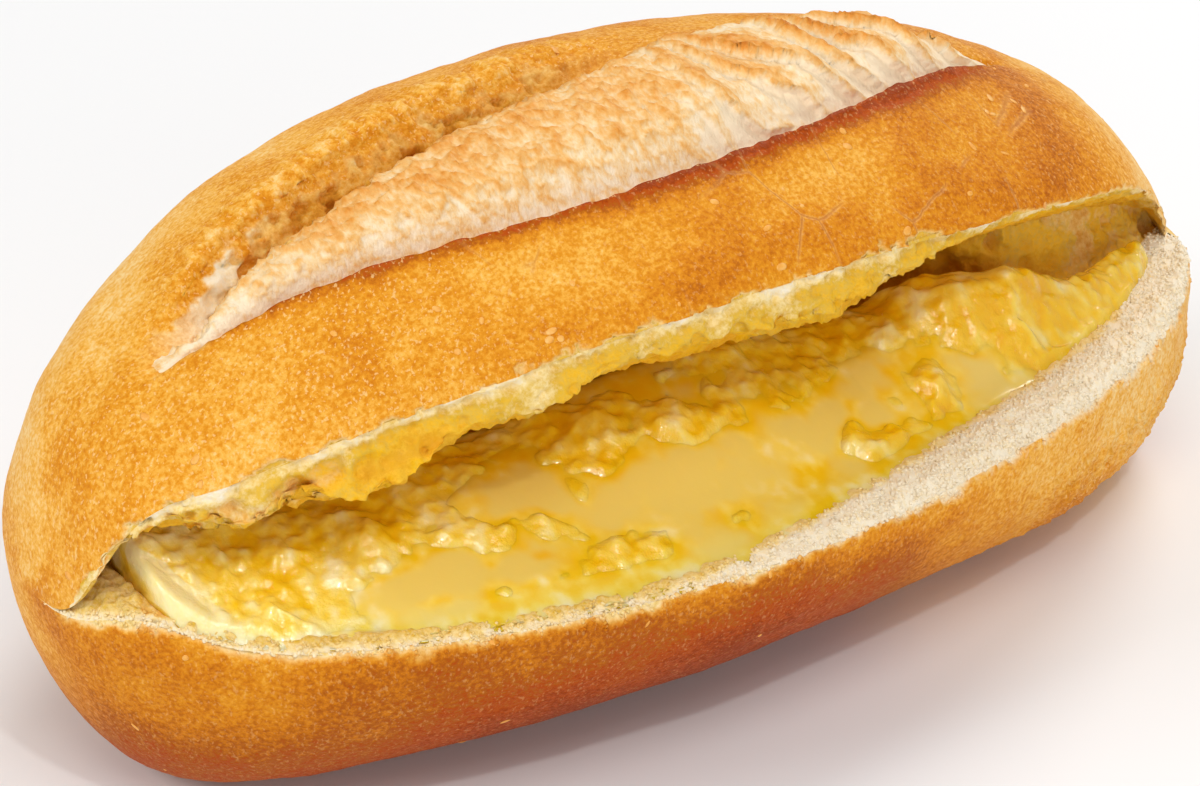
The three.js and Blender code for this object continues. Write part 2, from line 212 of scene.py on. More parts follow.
def foam_at(points, size, share, seed, rim):
    """Round hollows from 0 at the rim to 1 inside, in that share of the cells of a random foam."""
    places = (np.asarray(points) / size + 31.7 * seed).reshape(-1, 3)
    depths = []
    for place in places.tolist():
        distances, seeds = noise.voronoi(place)
        is_open = 0.5 + 0.5 * noise.cell(seeds[0] * 7.3) < share
        depths.append(1 - distances[0] if is_open else 0)
    return smooth(np.array(depths).reshape(np.shape(points)[:-1]), *rim)


# Outlines of the roll, with u running from -1 at the left tip to 1 at the right tip

def along(u):
    return (LENGTH / 2) * u


def shifted(u):
    return u + FULLEST_SHIFT * (1 - u * u)


def half_width(u):
    return (WIDTH / 2) * profile(shifted(u), **PLAN_OUTLINE)


def top_half_width(u):
    return half_width(u) * (1 - ramp(u, **RIGHT_END_TRIM))


def dome_height(u):
    return DOME_HEIGHT * (1 + ramp(u, **RIGHT_DOME_FULLNESS)) * profile(shifted(u), **DOME_OUTLINE)


def base_depth(u):
    fullness = 1 + RIGHT_BASE_FULLNESS * np.maximum(u, 0) ** 2
    return (CUT_HEIGHT + BASE_SINK) * fullness * profile(shifted(u), **BASE_OUTLINE)


def cut_height(u):
    return CUT_HEIGHT + CUT_TILT * u + bell(u, **CUT_BUMP) + bell(u, **CUT_DIP)


def right_setback(u):
    return ramp(u, **RIGHT_END_SETBACK) * profile(np.maximum(u, 0), **RIGHT_SETBACK_OUTLINE)


def hinge_y(u):
    return HINGE_SHARE * half_width(u)


def opening(u):
    reach = np.where(u < 0, LEFT_CUT_REACH, RIGHT_CUT_REACH)
    return OPENING * np.maximum(0, 1 - np.abs(u / reach) ** CUT_END_SHARPNESS)


def stations(count, crowding):
    """Places from tip to tip, closer together near the tips."""
    share = np.linspace(-1, 1, count)
    return mix(share, np.sin(math.pi / 2 * share), crowding)


def stepped(knots, end):
    """Evenly spaced values from knot to knot; a knot has a value for each station and the steps after it."""
    stops = [value for value, _ in knots[1:]] + [end]
    stretches = [mix(start, stop, np.arange(steps) / steps) for (start, steps), stop in zip(knots, stops)]
    return np.concatenate(stretches, axis=1)


# The score on top, by angle over the dome from the front lip

EAR_WOBBLE = math.radians(0.2)
EAR_WOBBLES = [(1, 5, 1), (0.5, 5 / 3, 2)]
VALLEY_WOBBLE = math.radians(0.8)
VALLEY_WOBBLES = [(1, 7, 3), (0.6, 2.5, 4)]


def ear_angle(u):
    return np.radians(EAR_LINE["middle"] + EAR_LINE["slope"] * u + EAR_LINE["bend"] * u * u)


def valley_angle(u):
    hook = VALLEY_LINE["hook"] * np.maximum(0, VALLEY_LINE["hook_start"] - u) ** 2
    line = np.radians(VALLEY_LINE["middle"] + VALLEY_LINE["slope"] * u - hook)
    return np.maximum(line, ear_angle(u) + VALLEY_CLEARANCE * VALLEY_HALF_WIDTH)


def line_noise(u, layers):
    places = np.concatenate([along(u), 0 * u, 0 * u], axis=-1)
    return layered_noise(places, layers)[..., None]


def torn_ear_angle(u):
    return ear_angle(u) + EAR_WOBBLE * line_noise(u, EAR_WOBBLES)


def torn_valley_angle(u):
    return valley_angle(u) + VALLEY_WOBBLE * line_noise(u, VALLEY_WOBBLES)


def across_bulge(u, angle):
    ear = torn_ear_angle(u)
    return np.clip((angle - ear) / (torn_valley_angle(u) - ear), 0, 1)


def bulge_relief(u, across):
    crest = BULGE_HEIGHT * np.sin(math.pi * across) ** BULGE_FULLNESS
    step = ramp(across, **EAR_DROP) - EAR_DROP["amount"]
    fold = ramp(u, **STRETCH_FOLD) * np.sin(2 * math.pi * along(u) / STRETCH_FOLD_PITCH)
    return crest + step + fold * np.sin(math.pi * across)


def across_valley(u, angle):
    place = (angle - torn_valley_angle(u)) / VALLEY_HALF_WIDTH
    return np.where(place > 0, place / VALLEY_BACK_SPREAD, place)


def dome_relief(u, angle):
    ear = torn_ear_angle(u)
    torn = within(u, **VALLEY_ALONG)
    in_front = EAR_HEIGHT * np.exp(np.minimum(angle - ear, 0) / EAR_RUN)
    behind = bulge_relief(u, across_bulge(u, angle))
    from_valley = across_valley(u, angle)
    relief = within(u, **SCORE_ALONG) * np.where(angle <= ear, in_front, behind)
    relief = relief - torn * VALLEY_DEPTH * np.exp(-2 * from_valley**2)
    back_edge = BACK_EDGE_HEIGHT * np.exp(-np.maximum(from_valley - 1, 0) / 2)
    return relief + np.where(from_valley > 1, torn * back_edge, 0)


# Crust of the shut roll, then swung up about the hinge

def super_arc(angle, half_span, rise, power):
    cosine = -np.cos(angle)
    y = half_span * np.sign(cosine) * np.abs(cosine) ** (2 / power)
    return y, rise * np.abs(np.sin(angle)) ** (2 / power)


def swung_points(u, radius, turn):
    """Points at a radius and a turn round the hinge: 0 is the top half's lip, a full turn the lower lip."""
    swung = turn + opening(u) * (1 - smooth(turn, BEND_START, BEND_END))
    x = along(u) - right_setback(u) * (1 - smooth(turn, *SETBACK_FADE))
    y = hinge_y(u) - radius * np.cos(swung)
    z = cut_height(u) + radius * np.sin(swung)
    return np.stack(np.broadcast_arrays(x, y, np.maximum(z, 0)), axis=-1)


def dome_points(u, angle):
    y, rise = super_arc(angle, top_half_width(u), dome_height(u), DOME_SECTION_POWER)
    radius = np.hypot(y, rise)
    growth = 1 + np.where(radius > 0, dome_relief(u, angle) / np.maximum(radius, 1e-6), 0)
    ahead = hinge_y(u) - y * growth
    return swung_points(u, np.hypot(ahead, rise * growth), np.arctan2(rise * growth, ahead))


def base_points(u, angle):
    power = BASE_SECTION_POWER + ramp(u, **BASE_WAIST) + ramp(u, **BASE_RIGHT_HEEL)
    y, rise = super_arc(angle, half_width(u), base_depth(u), power)
    ahead = hinge_y(u) - y
    return swung_points(u, np.hypot(ahead, rise), 2 * math.pi - np.arctan2(rise, ahead))


# Cut faces, with reach running from 0 at the hinge to 1 at the lip

HANG_ALONG = [
    (-0.97, 0.0), (-0.9, 1.6), (-0.82, 4.2), (-0.7, 5.0), (-0.6, 4.8), (-0.52, 3.2), (-0.4, 3.9),
    (-0.28, 3.0), (-0.15, 3.3), (0.02, 4.2), (0.12, 4.7), (0.24, 2.6), (0.32, 1.0), (0.42, 0.4),
    (0.6, 0.2), (0.93, 0.0),
]
HANG_ACROSS = {"start": 0.0, "full": 0.045, "fading": 0.2, "end": 0.6}
HANG_RAGS = [(0.25, 15, 5), (0.2, 6, 5), (0.16, 2.4, 5), (0.12, 1.1, 5)]
HANG_SPAN = 40
SHOULDER = {"start": 0.8, "full": 0.93, "fading": 0.95, "end": 1.0}
SHOULDER_HEIGHT = 0.7
SHOULDER_ALONG = (-0.2, 0.25)


def along_list(u, stops):
    """Values between stops of place and value."""
    return np.interp(u, [place for place, _ in stops], [value for _, value in stops])


def wedge_reach(u):
    return WEDGE_REACH + ramp(u, **WEDGE_REACH_GROWTH)


def hanging_crumb(u, reach):
    """How far the torn crumb hangs below the upper cut face."""
    places = np.stack(np.broadcast_arrays(along(u), HANG_SPAN * reach, 0.5), axis=-1)
    ragged = 1 + layered_noise(places, HANG_RAGS)
    return along_list(u, HANG_ALONG) * ragged * within(1 - reach, **HANG_ACROSS)


def upper_face_points(u, reach):
    swing = opening(u)
    radius = reach * (hinge_y(u) + top_half_width(u))
    hang = np.minimum(hanging_crumb(u, reach), CRUMB_HANG_LIMIT * radius * np.sin(swing))
    x = along(u) - right_setback(u) * smooth(reach, wedge_reach(u), 1)
    y = hinge_y(u) - radius * np.cos(swing) - hang * np.sin(swing)
    z = cut_height(u) + radius * np.sin(swing) - hang * np.cos(swing)
    return np.stack(np.broadcast_arrays(x, y, z), axis=-1)


def lower_face_height(u, reach):
    room = CRUMB_CROWN_LIMIT * half_width(u) * np.sin(opening(u))
    crown = np.minimum(CRUMB_CROWN, room) * (1 - smooth(reach, CRUMB_BEVEL_START, 1))
    shoulder = np.minimum(SHOULDER_HEIGHT, room) * within(reach, **SHOULDER) * smooth(u, *SHOULDER_ALONG)
    return cut_height(u) + crown + shoulder


def lower_face_points(u, reach):
    y = hinge_y(u) - reach * (hinge_y(u) + half_width(u))
    return np.stack(np.broadcast_arrays(along(u), y, lower_face_height(u, reach)), axis=-1)


def wedge_points(u, share):
    start = wedge_reach(u)
    corner = np.stack(np.broadcast_arrays(along(u), hinge_y(u), cut_height(u)), axis=-1)
    share = share[None, :, None]
    upper = upper_face_points(u, start)
    lower = lower_face_points(u, start)
    corner = mix(corner, (upper + lower) / 2, ramp(u, **WEDGE_FLATNESS)[..., None])
    return mix(mix(upper, corner, share), mix(corner, lower, share), share)


# Meshes from grids of points

def grid_normals(grid):
    """Unit normals of a grid whose sections run the same way round."""
    lengthwise = np.gradient(grid, axis=0)
    around = (np.roll(grid, -1, axis=1) - np.roll(grid, 1, axis=1)) / 2
    normals = np.cross(around, lengthwise)
    return normals / np.maximum(np.linalg.norm(normals, axis=-1, keepdims=True), 1e-9)


def rounded(grid, ring, radius, passes):
    """Rounds the edge that the sections have at one place of the ring."""
    weight = np.exp(-((np.linalg.norm(grid - grid[:, ring:ring + 1], axis=-1) / radius) ** 2))[..., None]
    for _ in range(passes):
        neighbours = (np.roll(grid, 1, axis=1) + np.roll(grid, -1, axis=1)) / 2
        grid = mix(grid, neighbours, ROUNDING * weight)
    return grid


def capped(grid):
    """The grid with one more section at each end that is a single point, which closes it."""
    first = np.broadcast_to(grid[0].mean(axis=0), grid[:1].shape)
    last = np.broadcast_to(grid[-1].mean(axis=0), grid[:1].shape)
    return np.concatenate([first, grid, last])


def capped_mark(values):
    return np.concatenate([values[:1], values, values[-1:]])


def loft_object(name, grid, marks, material):
    """A closed mesh through sections, with repeated points merged and the marks kept on its points."""
    rows, columns, _ = grid.shape
    spots = np.round(grid.reshape(-1, 3), 3)
    _, first, index = np.unique(spots, axis=0, return_index=True, return_inverse=True)
    here = index.reshape(rows, columns)
    after = np.roll(here, -1, axis=1)
    quads = np.stack([here[:-1], after[:-1], after[1:], here[1:]], axis=-1).reshape(-1, 4)
    corners = [list(dict.fromkeys(quad)) for quad in quads.tolist()]
    faces = [corner for corner in corners if len(corner) > 2]
    points = (grid.reshape(-1, 3)[first] + (0, ROLL_SHIFT, 0)) * MM
    mesh = bpy.data.meshes.new(name)
    mesh.from_pydata(points.tolist(), [], faces)
    mesh.validate()
    mesh.shade_smooth()
    for mark, values in marks.items():
        attribute = mesh.attributes.new(mark, "FLOAT", "POINT")
        attribute.data.foreach_set("value", np.broadcast_to(values, (rows, columns)).reshape(-1)[first])
    mesh.materials.append(material)
    piece = bpy.data.objects.new(name, mesh)
    bpy.context.scene.collection.objects.link(piece)
    return piece


# The loaf: crust outside, torn crumb in the mouth

LOAF_STATIONS = 440
TIP_CROWDING = 0.5
BASE_STEPS = 72
BASE_CROWDING = 1.6
DOME_STEPS = {
    "back": 50, "valley_back": 32, "valley_front": 24, "bulge": 22, "edge": 5, "front": 46, "lip": 30,
}
LIP_WALL_STEPS = 28
LIP_WALL_REACH = 0.95
UPPER_STEPS = 38
WEDGE_STEPS = 32
LOWER_STEPS = 60
LOWER_CROWDING = 1.3
LIP_RADIUS = 0.8
LIP_PASSES = 8
LIP_ZONE = math.radians(4.5)
LIP_ZONE_LIMIT = 0.5
EDGE_REACH = 0.2
VALLEY_BACK_REACH = 1.9
VALLEY_FRONT_REACH = 1.3
BULGE_START = 0.4
ROUNDING = 0.7
TIP_SHARPNESS = 24

# Noises over the loaf, with the size of their bumps and a seed, and mixes of them
LOAF_NOISES = {"broad": (11, 6), "coarse": (5, 7), "medium": (2.4, 8), "fine": (1.2, 9), "grain": (0.6, 33)}
LACE = {"size": 1.6, "seed": 12, "thinness": 1.8, "sharpness": 3}
CURL_SHARPNESS = 3
RAGGED = {"coarse": 0.7, "medium": 0.7, "fine": 0.6, "grain": 0.35}
WAVY = {"coarse": 0.8, "medium": 0.8, "fine": 0.6, "grain": 0.4}
BLOTCHES = {"medium": 1, "fine": 0.6}

# Foams of the crumb, with the share of their cells that are open and how sharp a hole's rim is
LOAF_FOAMS = {
    "pits": {"size": 3.0, "share": 0.4, "seed": 34, "rim": (0.35, 0.8)},
    "pores": {"size": 1.3, "share": 0.5, "seed": 35, "rim": (0.3, 0.75)},
    "bubbles": {"size": 4.4, "share": 0.85, "seed": 36, "rim": (0.2, 0.6)},
    "small_holes": {"size": 1.5, "share": 0.5, "seed": 11, "rim": (0.3, 0.7)},
    "large_holes": {"size": 3.0, "share": 0.5, "seed": 10, "rim": (0.3, 0.7)},
}
SMALL_HOLE_DEPTH = 0.5

# Places on the score: the browned rim of the ear, the bed of the bulge, the valley and its back
RIM_WIDTH = (1.1, 1.9)
RIM_WIDENING = (-0.35, 0.4)
RIM_EDGE = {"medium": 0.9, "fine": 0.6}
RIM_OVERHANG = 0.7
BED_ALONG = (-0.84, -0.78, 0.6, 0.67)
BED_EDGE = (0, 0.6)
BED_FADE = 0.8
VALLEY_FLOOR = {"raggedness": 0.4, "stops": (0.82, 0.62)}
VALLEY_FLOOR_FRONT = (-1.4, -1.1)
BACK_WALL = {"raggedness": 0.25, "stops": (0.6, 0.8, 1.0, 1.2)}
BACK_EDGE = {"raggedness": 0.4, "stops": (0.9, 1.1, 1.4, 2.2)}
DOME_BACK = {"from_valley": (0.5, 3.5), "angle": (2.9, 1.9)}
BASE_FRONT = (0.9, 0.45)
FLAKY_BASE = {"along": (0.25, 0.6), "height": (3, 8, 15, 20)}

# Places on the lips, which tear more raggedly at one end than at the other
UPPER_TEAR = {"left": 1.7, "right": 0.7, "turn": (0.2, 0.45), "set_back": 0.1}
LOWER_TEAR = {"left": 0.9, "right": 1.7, "turn": (-0.3, 0.2), "set_back": 0.0}
UPPER_TEAR_FADE = 0.6
LOWER_TEAR_FADE = 1.3
TEAR_OPENING = (0.02, 0.3)
TEAR_DEPTH = 0.7
TEAR_REACH = 1.2
FRINGE_REACH = 0.9
UPPER_FRINGE = [term(0.2), term(0.25, along=(0.4, 0.1))]
LOWER_FRINGE = 0.4

# Places in the mouth
CAVES = {"along": (-0.9, -0.85, -0.72, -0.66), "from_lip": (1.0, 2.0)}
HOLLOWS = {"along": (-0.78, -0.72, -0.58, -0.48), "from_lip": (0.5, 1.2, 3.5, 5)}
WALL_HOLES_ALONG = (0.45, 0.6)
RIGHT_WALL_ALONG = (0.5, 0.66)
DRY_BAND = [term(0.6), term(5.0, along=(-0.35, 0.5)), term(10, along=(0.74, 0.84))]
DRY_BAND_RAGGEDNESS = 0.8
LEFT_TIP = (-0.86, -0.92)
UNDER_FILLING = {"past_band": (1.4, 3.4), "along": (-0.925, -0.9)}

# How brown the crust is, with painted shade that darkens it towards the bottom and painted light that pales
# the back of the dome and the right end
CRUST_TOAST_AND_SHADE = [
    term(0.36),
    term(0.15, "broad"),
    term(0.08, "coarse"),
    term(0.04, "medium"),
    term(0.1, "front", along=(-0.6, 0.0)),
    term(-0.1, along=(-0.45, -0.9)),
    term(-0.1, "front", ear_distance=(1.5, 3.5, 7, 13), along=(-0.6, -0.3, 0.35, 0.6)),
    # Painted light: the back of the dome paler, where the lamps reach it only at a grazing angle
    term(-0.16, "dome_back", along=(-0.1, -0.5)),
    # Painted shade: darker towards the bottom, where less light falls, on top of the underside's deeper
    # browning
    term(0.26, height=(21, 1)),
    # The right end paler: partly its pale flaky crust, partly a painted highlight
    term(-0.38, along=(0.6, 0.9)),
    # The front of the base darker, most on the left and middle: partly its deeper browning, partly painted
    # shade; its right part is paler, flaky crust
    term(0.2, "base_front"),
    term(-0.36, "base_front", along=(-0.05, 0.42, 0.7, 0.9)),
    term(0.22, "base_front", along=(-0.85, -0.4, 0.1, 0.4), height=(25, 15)),
]
PALEST_TOAST = {"even": 0.07, "medium": 0.06}
PALEST_BEND = 12
RIM_TOAST = [
    term(0.38, "rim"),
    term(0.18, "rim", along=(-0.55, 0.2)),
    term(0.24, "rim", "medium"),
    term(0.2, "rim", "fine"),
]
FRINGE_TOAST = {"even": 0.12, "fine": 0.1}
BACK_WALL_TOAST = {"even": 0.3, "medium": 0.1}
BACK_EDGE_TOAST = {"even": 0.34, "medium": 0.1, "lace": -0.24}
TORN_LIP_TOAST = 0.1

# How brown the crumb is, in the valley and in the mouth, with painted shade in the valley's bottom and holes
# and in the mouth's caves, hollows, pits and deep places
PAST_TIP = (-0.72, -0.5)
VALLEY_TOAST_AND_SHADE = [
    term(0.04),
    # Painted shade: the holes in the valley darker
    term(0.25, "torn_holes"),
    term(0.64, along=PAST_TIP),
    # Painted shade: the valley lighter up its wall, so darker towards its bottom
    term(-0.2, from_valley=(0.2, 0.9), along=PAST_TIP),
    term(0.15, "fine", along=PAST_TIP),
    term(-0.12, "lace", along=PAST_TIP),
]
MOUTH_TOAST_AND_SHADE = [
    # Painted shade: the caves and hollows under the lid darker
    term(0.35, "caves"),
    term(0.12, "hollows"),
    term(0.22, "right_wall"),
    # Painted shade: the pits in the right wall darker
    term(0.3, "right_wall", "pits"),
    term(0.1, "right_wall", "fine"),
    # Partly real blotches, partly painted shade: the crumb under the lid darker further in from the lip
    term(0.1, "under_lid", blotches=(0.15, 0.7), from_lip=(1, 3)),
    term(0.2, "under_lid", blotches=(0.15, 0.7), from_lip=(1, 3), along=(0.4, 0.2)),
    term(0.1, "under_lid", from_lip=(1, 3), along=(0.5, 0.75)),
    term(0.35, "on_wedge", over_cut=(1.5, 4), along=(0.72, 0.8, 0.92, 0.97)),
    term(0.25, "on_wedge", along=(0.1, 0.2, 0.34, 0.42)),
    # Painted shade: the hole at the left end of the slit dark
    term(0.9, from_lip=(0.8, 2), along=(-0.885, -0.92)),
]

# How far the filling has soaked the crumb; under the lid this also paints shade, the crumb deeper yellow
# further in from the lip
UNDER_LID_SOAK_AND_SHADE = [
    term(0.3),
    term(0.32, from_lip=(0.3, 1.8)),
    term(0.25, from_lip=(2, 7)),
    term(0.35, "coarse"),
    term(0.2, "medium"),
    term(0.3, from_lip=(1.5, 4), along=(0.2, 0.35, 0.65, 0.8)),
]
RIGHT_WALL_SOAK = {"even": 0.75, "coarse": 0.25}
SOAK = [
    term(0.3, "hollows"),
    term(0.36, "on_lower", past_ragged_band=(0, 1.2)),
    term(0.14, "on_lower", along=(0.0, -0.4)),
    term(0.6, "torn_upper_lip"),
    term(0.3, "in_valley", along=PAST_TIP),
    term(0.35, "torn_lower_lip", along=(0.1, -0.3)),
    term(0.15, "torn_lower_lip", "fine"),
]
WETTEST = 1.2

# Where cracks, flecks, blisters and loose grains show
CRACKLE = {"along": (-0.75, -0.3, 0.75, 0.9), "from_upper": (20, 9)}
PLAIN_FRONT_ALONG = (-0.6, -0.25, 0.5, 0.8)
PLAIN_BASE_ALONG = (0.6, 0.2)
FLECK_THINNING = 0.65
BLISTERS = [
    term(0.8, "front"),
    term(-1, "front", "rim"),
    term(0.2, "on_dome"),
    term(0.25, "on_base"),
]
BLISTERS_ABOVE = (1, 4)
GRAINS = [term(1, "on_lower", past_band=(2, 0)), term(0.8, "torn_lower_lip")]

# Relief along the normals
SKIN_RELIEF = [
    term(0.3, "broad"),
    term(0.16, "coarse"),
    term(0.06, "medium"),
    term(0.05, "fine"),
    term(0.45, "flaky", "curls"),
    term(0.4, "flaky", "lace"),
    term(0.25, "rim", "medium"),
    term(0.2, "rim", "fine"),
    term(-1.3, "bulge_bed"),
]
VALLEY_RELIEF = {"medium": 0.4, "fine": 0.3, "lace": 0.3, "torn_holes": -1.7}
MOUTH_RELIEF = [
    term(0.28, "medium"),
    term(-0.14, "on_upper", "medium"),
    term(0.2, "fine"),
    term(0.2, "grain"),
    term(-0.3, "pores"),
    term(-0.25, "on_upper", "pores"),
    term(-0.5, "on_upper", "pits"),
    term(-0.9, "caves"),
    term(-0.8, "hollows"),
    term(-1.2, "wall_holes"),
    term(0.6, "medium", along=LEFT_TIP),
    term(0.6, "fine", along=LEFT_TIP),
    term(-1, "pits", along=LEFT_TIP),
    term(-0.6, "pores", along=LEFT_TIP),
]
UNDER_FILLING_RELIEF = {"even": -0.7, "fine": 0.2}
MOUTH_ROOM = (0.15, 0.85)
MOUTH_RELIEF_START = (0, 0.8)
FOOT_RELIEF_START = (0, 2)


def dome_angles(u):
    """Angles from the back to the front lip for each station, closest together at the score."""
    ear = torn_ear_angle(u)
    valley = torn_valley_angle(u)
    starts = {
        "back": np.full_like(u, math.pi),
        "valley_back": valley + VALLEY_BACK_REACH * VALLEY_HALF_WIDTH,
        "valley_front": valley,
        "bulge": np.maximum(valley - VALLEY_FRONT_REACH * VALLEY_HALF_WIDTH, mix(ear, valley, BULGE_START)),
        "edge": ear + EDGE_REACH * EAR_RUN,
        "front": ear,
        "lip": np.minimum(LIP_ZONE, LIP_ZONE_LIMIT * ear),
    }
    return stepped([(start, DOME_STEPS[name]) for name, start in starts.items()], np.zeros_like(u))


def loaf_sections(u, dome_angle):
    """Sections from the lower lip round the outside to the upper lip, then back through the mouth."""
    base_angle = math.pi * (np.arange(BASE_STEPS) / BASE_STEPS)[None, :] ** BASE_CROWDING
    lip_reach = [(np.ones_like(u), LIP_WALL_STEPS), (np.full_like(u, LIP_WALL_REACH), UPPER_STEPS)]
    outward = (np.arange(LOWER_STEPS, 0, -1) / LOWER_STEPS)[None, :] ** LOWER_CROWDING
    grid = np.concatenate(
        [
            base_points(u, base_angle),
            dome_points(u, dome_angle),
            upper_face_points(u, stepped(lip_reach, wedge_reach(u))),
            wedge_points(u, np.arange(WEDGE_STEPS) / WEDGE_STEPS),
            lower_face_points(u, mix(1, wedge_reach(u), outward)),
        ],
        axis=1,
    )
    upper_lip = BASE_STEPS + dome_angle.shape[1]
    is_shut = opening(u[:, 0]) <= 0
    grid[is_shut, upper_lip:] = grid[is_shut, :1]
    grid = rounded(grid, 0, LIP_RADIUS, LIP_PASSES)
    return rounded(grid, upper_lip, LIP_RADIUS, LIP_PASSES), upper_lip


def lip_distance(grid, ring):
    return np.linalg.norm(grid - grid[:, ring:ring + 1], axis=-1)


def loaf_faces(columns, upper_lip):
    """Which columns of the sections lie on which face: 1 there and 0 elsewhere."""
    lower = columns - LOWER_STEPS
    wedge = lower - WEDGE_STEPS
    spans = {
        "on_base": (0, BASE_STEPS),
        "on_dome": (BASE_STEPS, upper_lip),
        "is_upper": (BASE_STEPS, lower),
        "under_lid": (upper_lip, wedge),
        "on_upper": (upper_lip, lower),
        "on_wedge": (wedge, lower),
        "on_lower": (lower, columns),
        "in_mouth": (upper_lip, columns),
    }
    order = np.arange(columns)[None, :]
    return {name: 1.0 * ((order >= start) & (order < end)) for name, (start, end) in spans.items()}


def loaf_places(u, dome_angle, grid, upper_lip):
    """Named values for each point of the loaf: where it is, on which face, and noises."""
    rows, columns, _ = grid.shape
    at = {"even": 1.0, "along": u, "height": grid[..., 2], **loaf_faces(columns, upper_lip)}
    at["over_cut"] = at["height"] - cut_height(u)
    at["open_share"] = opening(u) / OPENING
    at["from_upper"] = lip_distance(grid, upper_lip)
    at["from_lower"] = lip_distance(grid, 0)
    at["from_lip"] = np.where(at["on_upper"] > 0, at["from_upper"], at["from_lower"])
    at["angle"] = np.zeros((rows, columns))
    at["angle"][:, BASE_STEPS:upper_lip] = dome_angle
    for name, (size, seed) in LOAF_NOISES.items():
        at[name] = noise_at(grid, size, seed)
    for name, foam in LOAF_FOAMS.items():
        at[name] = foam_at(grid, **foam)
    at["lace"] = laced(grid, **LACE)
    at["curls"] = (1 - np.abs(at["medium"])) ** CURL_SHARPNESS
    at["ragged"] = mixed(at, RAGGED)
    at["blotches"] = mixed(at, BLOTCHES)
    add_score_places(at)
    add_lip_places(at)
    add_mouth_places(at)
    return at


def add_score_places(at):
    u = at["along"]
    ear_distance = (torn_ear_angle(u) - at["angle"]) * np.maximum(top_half_width(u), 1)
    below_ear = np.maximum(ear_distance + mixed(at, RIM_EDGE), 0)
    rim_width = mix(*RIM_WIDTH, smooth(u, *RIM_WIDENING))
    rim = within(u, **SCORE_ALONG) * at["on_dome"] * np.exp(-((below_ear / rim_width) ** 2))
    at["ear_distance"] = ear_distance
    at["front"] = at["on_dome"] * (ear_distance > 0)
    at["rim"] = rim * (ear_distance > -RIM_OVERHANG)
    bed_end = 1 - ramp(u, **BULGE_TAPER)
    bed = zone(at, 1, "on_dome", along=BED_ALONG) * smooth(-ear_distance, *BED_EDGE)
    at["bulge_bed"] = bed * (1 - smooth(across_bulge(u, at["angle"]), BED_FADE * bed_end, bed_end))

    from_valley = across_valley(u, at["angle"])
    at["from_valley"] = from_valley
    valley = within(u, **VALLEY_ALONG) * at["on_dome"]
    for name, strip in {"in_valley": VALLEY_FLOOR, "back_wall": BACK_WALL, "back_edge": BACK_EDGE}.items():
        at[name] = valley * faded(from_valley + strip["raggedness"] * at["ragged"], strip["stops"])
    at["in_valley"] = at["in_valley"] * smooth(from_valley, *VALLEY_FLOOR_FRONT)
    at["torn_holes"] = np.maximum(at["large_holes"], SMALL_HOLE_DEPTH * at["small_holes"]) * at["in_valley"]
    at["dome_back"] = zone(at, 1, "on_dome", **DOME_BACK)
    order = np.arange(at["on_base"].shape[1])[None, :]
    at["base_front"] = at["on_base"] * smooth(order / BASE_STEPS, *BASE_FRONT)
    at["flaky"] = np.maximum(at["back_edge"], zone(at, 1, "on_base", **FLAKY_BASE))


def tear(u, raggedness, left, right, turn, set_back):
    return raggedness * mix(left, right, smooth(u, *turn)) - set_back


def add_lip_places(at):
    u = at["along"]
    is_upper = at["is_upper"] > 0
    in_mouth = at["in_mouth"] > 0
    outside = np.where(in_mouth, 0, np.where(at["on_dome"] > 0, at["from_upper"], at["from_lower"]))
    upper_tear = tear(u, at["ragged"], **UPPER_TEAR)
    lower_tear = tear(u, mixed(at, WAVY), **LOWER_TEAR)
    outside = outside - np.where(is_upper, upper_tear, lower_tear)
    is_open = smooth(at["open_share"], *TEAR_OPENING)
    torn = (1 - smooth(outside, 0, np.where(is_upper, UPPER_TEAR_FADE, LOWER_TEAR_FADE))) * is_open
    at["torn_lip"] = torn
    at["torn_upper_lip"] = torn * at["on_dome"]
    at["torn_lower_lip"] = torn * at["on_base"]
    inward = np.exp(-((at["from_lip"] / TEAR_REACH) ** 2))
    at["tear_relief"] = -TEAR_DEPTH * torn * np.where(in_mouth, inward, 1)
    fringe = np.exp(-np.maximum(outside, 0) / FRINGE_REACH) * is_open
    at["fringe"] = fringe * np.where(is_upper, zones(at, UPPER_FRINGE), LOWER_FRINGE)
    at["crumb"] = np.maximum(np.maximum(torn, at["in_valley"]), at["in_mouth"])


def add_mouth_places(at):
    at["caves"] = zone(at, 1, "bubbles", "on_upper", **CAVES)
    at["hollows"] = zone(at, 1, "bubbles", "on_upper", **HOLLOWS)
    at["wall_holes"] = zone(at, 1, "pits", "on_wedge", along=WALL_HOLES_ALONG)
    at["right_wall"] = zone(at, 1, "on_wedge", along=RIGHT_WALL_ALONG)
    at["past_band"] = at["from_lip"] - zones(at, DRY_BAND)
    at["past_ragged_band"] = at["past_band"] + DRY_BAND_RAGGEDNESS * at["medium"]


def loaf_toast_and_shade(at):
    palest = mixed(at, PALEST_TOAST)
    toast = zones(at, CRUST_TOAST_AND_SHADE)
    toast = palest + np.logaddexp(0, PALEST_BEND * (toast - palest)) / PALEST_BEND
    toast = toast + zones(at, RIM_TOAST)
    toast = mix(toast, mixed(at, FRINGE_TOAST), at["fringe"])
    toast = mix(toast, mixed(at, BACK_WALL_TOAST), at["back_wall"])
    toast = mix(toast, mixed(at, BACK_EDGE_TOAST), at["back_edge"])
    toast = mix(toast, zones(at, VALLEY_TOAST_AND_SHADE), at["in_valley"])
    toast = np.where(at["in_mouth"] > 0, zones(at, MOUTH_TOAST_AND_SHADE), toast)
    return mix(toast, TORN_LIP_TOAST, at["torn_lip"])


